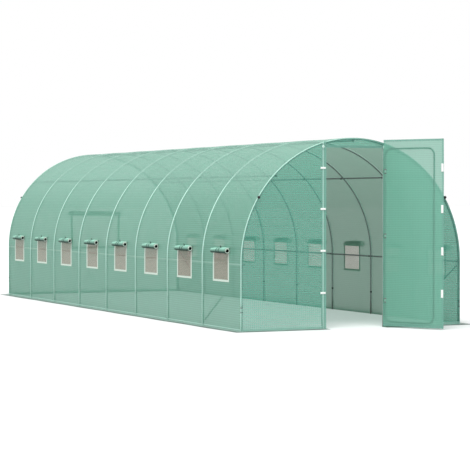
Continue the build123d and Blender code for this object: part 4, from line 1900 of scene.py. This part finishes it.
@dataclass
class RollUpWindows:
    """Windows with a net, border tape, a rolled-up flap and ties."""

    sizes: Sizes
    cover: CoverSheet
    ends: EndSheets
    tape: float = 0.035
    tape_lift: float = 0.0012
    tape_crown: float = 0.0012
    net_sink: Pair = (0.001, 0.004)
    roll_radius: float = 0.038
    roll_slip: float = 0.045
    roll_rise: float = 0.007
    wall_gap: float = 0.001
    back_tight: float = 0.9
    back_droop: float = 0.008

    def net(self, hole: Opening) -> Surface:
        """The net in one opening, hollow by a product of sines."""
        a, b = lattice(np.linspace(-1, 1, 13), np.linspace(0, 1, 11))
        sink = self.net_sink[0] + self.net_sink[1] * np.cos(a * np.pi / 2) * np.sin(b * np.pi)
        return patch(hole.place, hole.middle + hole.half * a, hole.low + (hole.high - hole.low) * b, -sink)

    def crown(self, t: np.ndarray, w: np.ndarray) -> np.ndarray:
        """How far a tape stands off the wall: crowned across its width by a parabola."""
        return self.tape_lift + self.tape_crown * (1 - (2 * w - 1) ** 2)

    def border(self, hole: Opening, foot: float) -> Surface:
        """Four strips of tape round one opening.

        Args:
            hole: the opening.
            foot: width of the lowest strip.

        Returns:
            The strips.
        """
        left, right = hole.middle - hole.half, hole.middle + hole.half
        outer = left - self.tape, right + self.tape
        edges = (
            ((outer[0], hole.low), (outer[1], hole.low), (0, -foot)),
            ((outer[0], hole.high), (outer[1], hole.high), (0, self.tape)),
            ((left, hole.low), (left, hole.high), (-self.tape, 0)),
            ((right, hole.low), (right, hole.high), (self.tape, 0)),
        )
        return Surface.joined([strip(hole.place, *edge, (15, 5), self.crown) for edge in edges])

    def build_side(self, side: Side) -> None:
        """The windows of one long side.

        Args:
            side: which side.
        """
        z, cover = self.sizes, self.cover

        def place(y: np.ndarray, up: np.ndarray, lift: np.ndarray) -> np.ndarray:
            """The cover's own surface on this side, by height up from its foot."""
            return cover.place(y, up if side is Side.LEFT else z.run - up, lift)

        name = f"{side.name.lower()}_window"
        holes = [Opening(place, y, cover.window_half, cover.sill, cover.lintel) for y in cover.middles]
        low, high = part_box(f"{name}_rolls")
        centre = np.array(middle_of(f"{name}_rolls")) * (1, 0, 1)
        radial = centre - (0, 0, z.leg)
        wall = float(np.linalg.norm(radial)) - z.cover - self.wall_gap
        half = (high.y - low.y - z.bay * (z.hoops - 2)) / 2
        rolls = []
        for y in cover.middles:
            spot = centre + (0, y, self.roll_rise)
            start, end = spot - (0, half, 0), spot + (0, half - self.roll_slip, 0)
            rolls.append(Roll(start, end, unit(radial), self.roll_radius, wall))
        self.finish_row(name, holes, rolls, self.tape - cover.foot_trim, NET)

    def build_back(self) -> None:
        """The window in the back end."""
        low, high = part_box("back_window_screen")
        hole = Opening(self.ends.back, 0.0, (high.x - low.x) / 2, low.z, high.z)
        low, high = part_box("back_window_roll")
        spot = np.array(middle_of("back_window_roll")) * (0, 1, 1)
        reach = np.array([(high.x - low.x) / 2, 0, 0])
        wall = spot[1] - self.sizes.back - self.sizes.end
        loose = {"tight": self.back_tight, "droop": self.back_droop}
        roll = Roll(spot - reach, spot + reach, np.array(ALONG_Y), self.roll_radius, wall, **loose)
        self.finish_row("back_window", [hole], [roll], self.tape, BACK_NET)

    def finish_row(
        self, name: str, holes: list[Opening], rolls: list[Roll], foot: float, net: Finish
    ) -> None:
        """Make one row's nets, borders, rolls and ties.

        Args:
            name: start of the nodes' names.
            holes: the openings.
            rolls: the rolled flaps.
            foot: width of each border's lowest strip.
            net: the nets' finish.
        """
        ending = "s" if len(holes) > 1 else ""
        screen, border, rolled = ((f"{name}_{part}{ending}",) for part in ("screen", "border", "roll"))
        nets = make_piece(f"{name}_nets", [self.net(hole) for hole in holes], net, screen)
        flat = (2 * holes[0].half * len(holes), holes[0].high - holes[0].low)
        tapes = [self.border(hole, foot) for hole in holes]
        make_piece(f"{name}_tapes", tapes, BORDER, border)
        flaps = make_piece(f"{name}_flaps", [roll.flap() for roll in rolls], FLAP, rolled)
        rims = [roll.rim(share) for roll in rolls for share in (0.0, 1.0)]
        ties = [roll.tie(share) for roll in rolls for share in roll.ties]
        extra = [
            make_piece(f"{name}_bindings", rims, BORDER),
            make_piece(f"{name}_ties", ties, TIE),
        ]
        flat = (rolls[0].length * len(rolls), float(rolls[0].run()[-1]))

    def build(self) -> None:
        """Make the windows of both sides and of the back end."""
        for side in Side:
            self.build_side(side)
        self.build_back()


@dataclass
class SwingDoor:
    """The framed door: tube frame, cloth, hems, patches and hinges, drawn shut and then swung open.

    A profile is pairs of height and radius; shares are of the doorway's height.
    """

    sizes: Sizes
    tube_radius: float = 0.010
    frame_wide: float = 0.700
    frame_bend: float = 0.090
    cloth_wide: float = 0.860
    hinge_flap: float = 0.020
    cloth_off: float = 0.0112
    blown: float = 0.006
    blown_low: float = 0.7
    blown_edge: Pair = (0.1, 0.15)
    blown_rates: Pair = (2.4, 3.0)
    loose_wave: Pair = (0.002, 6.0)
    loose_range: Pair = (0.72, 0.82)
    notch: float = 0.0228
    notch_reach: Pair = (-0.028, 0.030)
    hinge_shares: tuple[float, ...] = (0.15, 0.51, 0.87)
    strap_shares: tuple[float, ...] = (0.198, 0.430, 0.661, 0.887)
    patch_wide: float = 0.032
    patch_tall: float = 0.097
    patch_inset: float = 0.003
    patch_lift: Pair = (0.0024, 0.0008)
    patch_thick: float = 0.001
    hem: float = 0.022
    foot_hem: float = 0.036
    hem_lift: float = 0.0012
    bush: Profile = ((-0.022, 0.0105), (-0.021, 0.0125), (0.0163, 0.0125))
    step: Profile = ((0.0163, 0.0158), (0.0173, 0.0168))
    collar: Profile = ((0.0233, 0.0168), (0.0243, 0.0158), (0.0243, 0.0105))
    plate: float = 0.003
    bolt_off: float = 0.023
    bolt: Profile = ((0.0, 0.0058), (0.0012, 0.0058), (0.0013, 0.0046), (0.0042, 0.0046), (0.0048, 0.0034))

    def __post_init__(self) -> None:
        """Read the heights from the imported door."""
        frame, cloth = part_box("door_frame"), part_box("door_panel")
        self.frame_low, self.frame_high = frame[0].z + self.tube_radius, frame[1].z - self.tube_radius
        self.low, self.high = cloth[0].z, cloth[1].z
        self.first, self.last = -self.hinge_flap, self.cloth_wide - self.hinge_flap
        self.levels = [share * self.sizes.lintel for share in self.hinge_shares]

    def place(self, a: np.ndarray, z: np.ndarray, off: np.ndarray) -> np.ndarray:
        """A place on the open door.

        Args:
            a: distance from the hinge axis towards the free edge.
            z: height.
            off: distance from the hinge axis towards the tunnel, with the door shut.

        Returns:
            The place, turned about the hinge by the opening angle.
        """
        c, s = math.cos(self.sizes.opening), math.sin(self.sizes.opening)
        return np.stack([self.sizes.post - a * c - off * s, self.sizes.hinge - a * s + off * c, z], -1)

    def cloth(self, a: np.ndarray, z: np.ndarray, lift: np.ndarray) -> np.ndarray:
        """The door's sheet: flat over the frame's tubes, blown a little into it and wavy beyond it.

        Args:
            a: distance from the hinge axis.
            z: height.
            lift: height off the sheet.

        Returns:
            The places.
        """
        wide = ease(np.minimum(a, self.frame_wide - a), 0, self.blown_edge[0])
        tall = ease(np.minimum(z - self.frame_low, self.frame_high - z), 0, self.blown_edge[1])
        swell = np.sin(self.blown_rates[0] * z + self.blown_rates[1] * a)
        swell = self.blown_low + (1 - self.blown_low) * swell
        depth, rate = self.loose_wave
        loose = depth * np.sin(rate * z) * ramp(a, *self.loose_range)
        return self.place(a, z, self.cloth_off + lift - self.blown * wide * tall * swell + loose)

    def frame_path(self) -> np.ndarray:
        """The middle line of the frame: a rectangle with round corners.

        Returns:
            Its places on the open door.
        """
        r = self.frame_bend
        sides, levels = (r, self.frame_wide - r), (self.frame_low + r, self.frame_high - r)
        turn = np.linspace(0, math.pi / 2, 9)
        a, z = [], []
        for quarter, (side, level) in enumerate(((1, 0), (1, 1), (0, 1), (0, 0))):
            angle = turn + (quarter - 1) * math.pi / 2
            a.append(sides[side] + r * np.cos(angle))
            z.append(levels[level] + r * np.sin(angle))
        return self.place(np.concatenate(a), np.concatenate(z), np.zeros(4 * len(turn)))

    def build(self) -> None:
        """Make the frame, cloth, hems, patches and hinge fittings."""
        s = self.sizes
        across = (-math.sin(s.opening), math.cos(s.opening), 0.0)
        frame = [tube(self.frame_path(), self.tube_radius, across, closed=True)]
        for level in self.levels:
            profile = self.bush + self.step + self.collar
            frame.append(lathe((s.post, s.hinge, level), ALONG_Z, profile, 24))
        make_piece("door_frame_tube", frame, DOOR_ZINC, ("door_frame",), Body.DOOR)
        self.build_cloth()
        self.build_patches()
        self.build_hinges()

    def build_cloth(self) -> None:
        """The sheet, cut round the hinges, and the hems on its edges."""
        cuts = [(level + self.notch_reach[0], level + self.notch_reach[1]) for level in self.levels]
        a_lines = merged(np.linspace(self.first, self.last, 38), [self.notch])
        z_lines = merged(np.linspace(self.low, self.high, 84), np.ravel(cuts))
        a, z = lattice(a_lines, z_lines)
        mid_a, mid_z = (a[1:, 1:] + a[:-1, :-1]) / 2, (z[1:, 1:] + z[:-1, :-1]) / 2
        beside = np.any([(mid_z > low) & (mid_z < high) for low, high in cuts], axis=0)
        made = patch(self.cloth, a, z, keep=~(beside & (mid_a < self.notch)))
        sheet = make_piece("door_sheet", made, DOOR_SHEET, ("door_panel",), Body.DOOR)
        left, right, top = self.first, self.last, self.high - self.hem
        hems = [
            strip(self.cloth, start, end, across, (cuts, 4), lambda t, w: self.hem_lift)
            for start, end, across, cuts in (
                ((right - self.hem, self.low), (right - self.hem, self.high), (self.hem, 0), 60),
                ((left, self.low), (right, self.low), (0, self.foot_hem), 30),
                ((left, top), (right, top), (0, self.hem), 30),
            )
        ]
        trim = make_piece("door_hems", hems, HEM, body=Body.DOOR)

    def build_patches(self) -> None:
        """Hook-and-loop patches by the free edge, with ends that lift a little by a sixth power."""
        wide, (least, curl) = self.patch_wide, self.patch_lift
        inner = self.last - self.patch_inset - wide
        parts = []
        for share in self.strap_shares:
            middle = share * self.sizes.lintel
            ends = [(inner, middle + way * self.patch_tall / 2) for way in (-1, 1)]
            parts.append(
                strip(self.cloth, *ends, (wide, 0), (15, 5), lambda t, w: least + curl * (2 * t - 1) ** 6)
            )
        piece = make_piece("door_patch_webbing", parts, WEBBING, ("door_patches",), Body.DOOR)
        thicken(piece, self.patch_thick)

    def build_hinges(self) -> None:
        """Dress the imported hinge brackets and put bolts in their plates."""
        slots = bpy.data.objects["hinge_brackets"].data.materials
        slots.clear()
        slots.append(HINGE_PAINT.material())
        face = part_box("hinge_brackets")[1].y - self.plate
        heights = [level + way * self.bolt_off for level in self.levels for way in (-1, 1)]
        bolts = [lathe((self.sizes.post, face, height), (0, -1, 0), self.bolt, 6) for height in heights]
        make_piece("hinge_bolts", bolts, HINGE_PAINT)


# studio


@dataclass(frozen=True)
class Studio:
    """Floor, light and the viewpoint.

    The camera's place has its y from the front hoop; yaw is to the right of straight ahead and pitch
    upwards, both in radians; focal is in picture widths; sky and sun are strengths.
    """

    sizes: Sizes
    place: tuple[float, float, float] = (-10.41437, -19.15422, 1.56875)
    yaw: float = 0.43201
    pitch: float = -0.02014
    focal: float = 3.80492
    sensor: float = 36.0
    far: float = 1000.0
    sky: float = 0.85
    sun: float = 2.9
    sun_spread: float = 35.0
    sun_way: tuple[float, float, float] = (0.28, 0.30, -1.0)
    floor_half: float = 260.0
    floor_drop: float = 0.0005

    def build(self) -> None:
        """Put up the floor, the lights and the camera."""
        self.build_floor()
        self.build_light()
        self.build_camera()

    def build_floor(self) -> None:
        """A wide flat floor: a grid of two parameters just under height 0."""
        line = np.linspace(-self.floor_half, self.floor_half, 9)
        x, y = lattice(line, line)
        points = np.stack([x, y, np.full_like(x, -self.floor_drop)], -1)
        made = Surface.grid(points, points[..., :2]).facing(np.broadcast_to(ALONG_Z, points.shape))
        mesh = bpy.data.meshes.new("studio_floor")
        mesh.from_pydata(made.points.tolist(), [], made.quads.tolist())
        floor = bpy.data.objects.new("studio_floor", mesh)
        bpy.context.scene.collection.objects.link(floor)
        mesh.materials.append(FLOOR.material())

    def build_light(self) -> None:
        """Even white light all round, plain white to the camera, and one soft key light."""
        world = bpy.data.worlds.new("studio")
        bpy.context.scene.world = world
        world.use_nodes = True
        world.node_tree.nodes.clear()
        board = Board(world.node_tree)
        path = board.add("LightPath").outputs
        seen = board.math("MAXIMUM", path["Is Camera Ray"], path["Is Glossy Ray"])
        seen = board.math("MAXIMUM", seen, path["Is Transmission Ray"])
        strength = board.math("ADD", board.math("MULTIPLY", seen, 1.0 - self.sky), self.sky)
        shade = board.add("Background", Color=solid((1.0, 1.0, 1.0)), Strength=strength)
        board.feed(board.add("OutputWorld").inputs[0], shade.outputs[0])
        lamp = bpy.data.lights.new("key_light", "SUN")
        lamp.energy, lamp.angle = self.sun, math.radians(self.sun_spread)
        key = bpy.data.objects.new("key_light", lamp)
        key.rotation_euler = Vector(self.sun_way).to_track_quat("-Z", "Y").to_euler()
        bpy.context.scene.collection.objects.link(key)

    def build_camera(self) -> None:
        """The camera at the photograph's viewpoint, and plain colours."""
        level = math.cos(self.pitch)
        forward = Vector((math.sin(self.yaw) * level, math.cos(self.yaw) * level, math.sin(self.pitch)))
        right = Vector((math.cos(self.yaw), -math.sin(self.yaw), 0.0))
        turned = Matrix((right, right.cross(forward), -forward)).transposed().to_4x4()
        data = bpy.data.cameras.new("viewpoint")
        data.sensor_width, data.lens = self.sensor, self.focal * self.sensor
        data.clip_end = self.far
        camera = bpy.data.objects.new("viewpoint", data)
        spot = Vector(self.place) + Vector((0.0, self.sizes.front, 0.0))
        camera.matrix_world = Matrix.Translation(spot) @ turned
        bpy.context.scene.collection.objects.link(camera)
        bpy.context.scene.camera = camera
        bpy.context.scene.view_settings.view_transform = "Standard"


def main() -> None:
    """Build every sub-assembly in order."""
    logging.basicConfig(level=logging.INFO, format="%(message)s")
    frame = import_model()
    sizes = Sizes.read(frame)
    cover, ends = CoverSheet(sizes), EndSheets(sizes)
    windows = RollUpWindows(sizes, cover, ends)
    for part in (Framework(sizes), cover, ends, windows, SwingDoor(sizes), Studio(sizes)):
        part.build()
    bpy.context.view_layer.update()


if __name__ == "__main__":
    main()
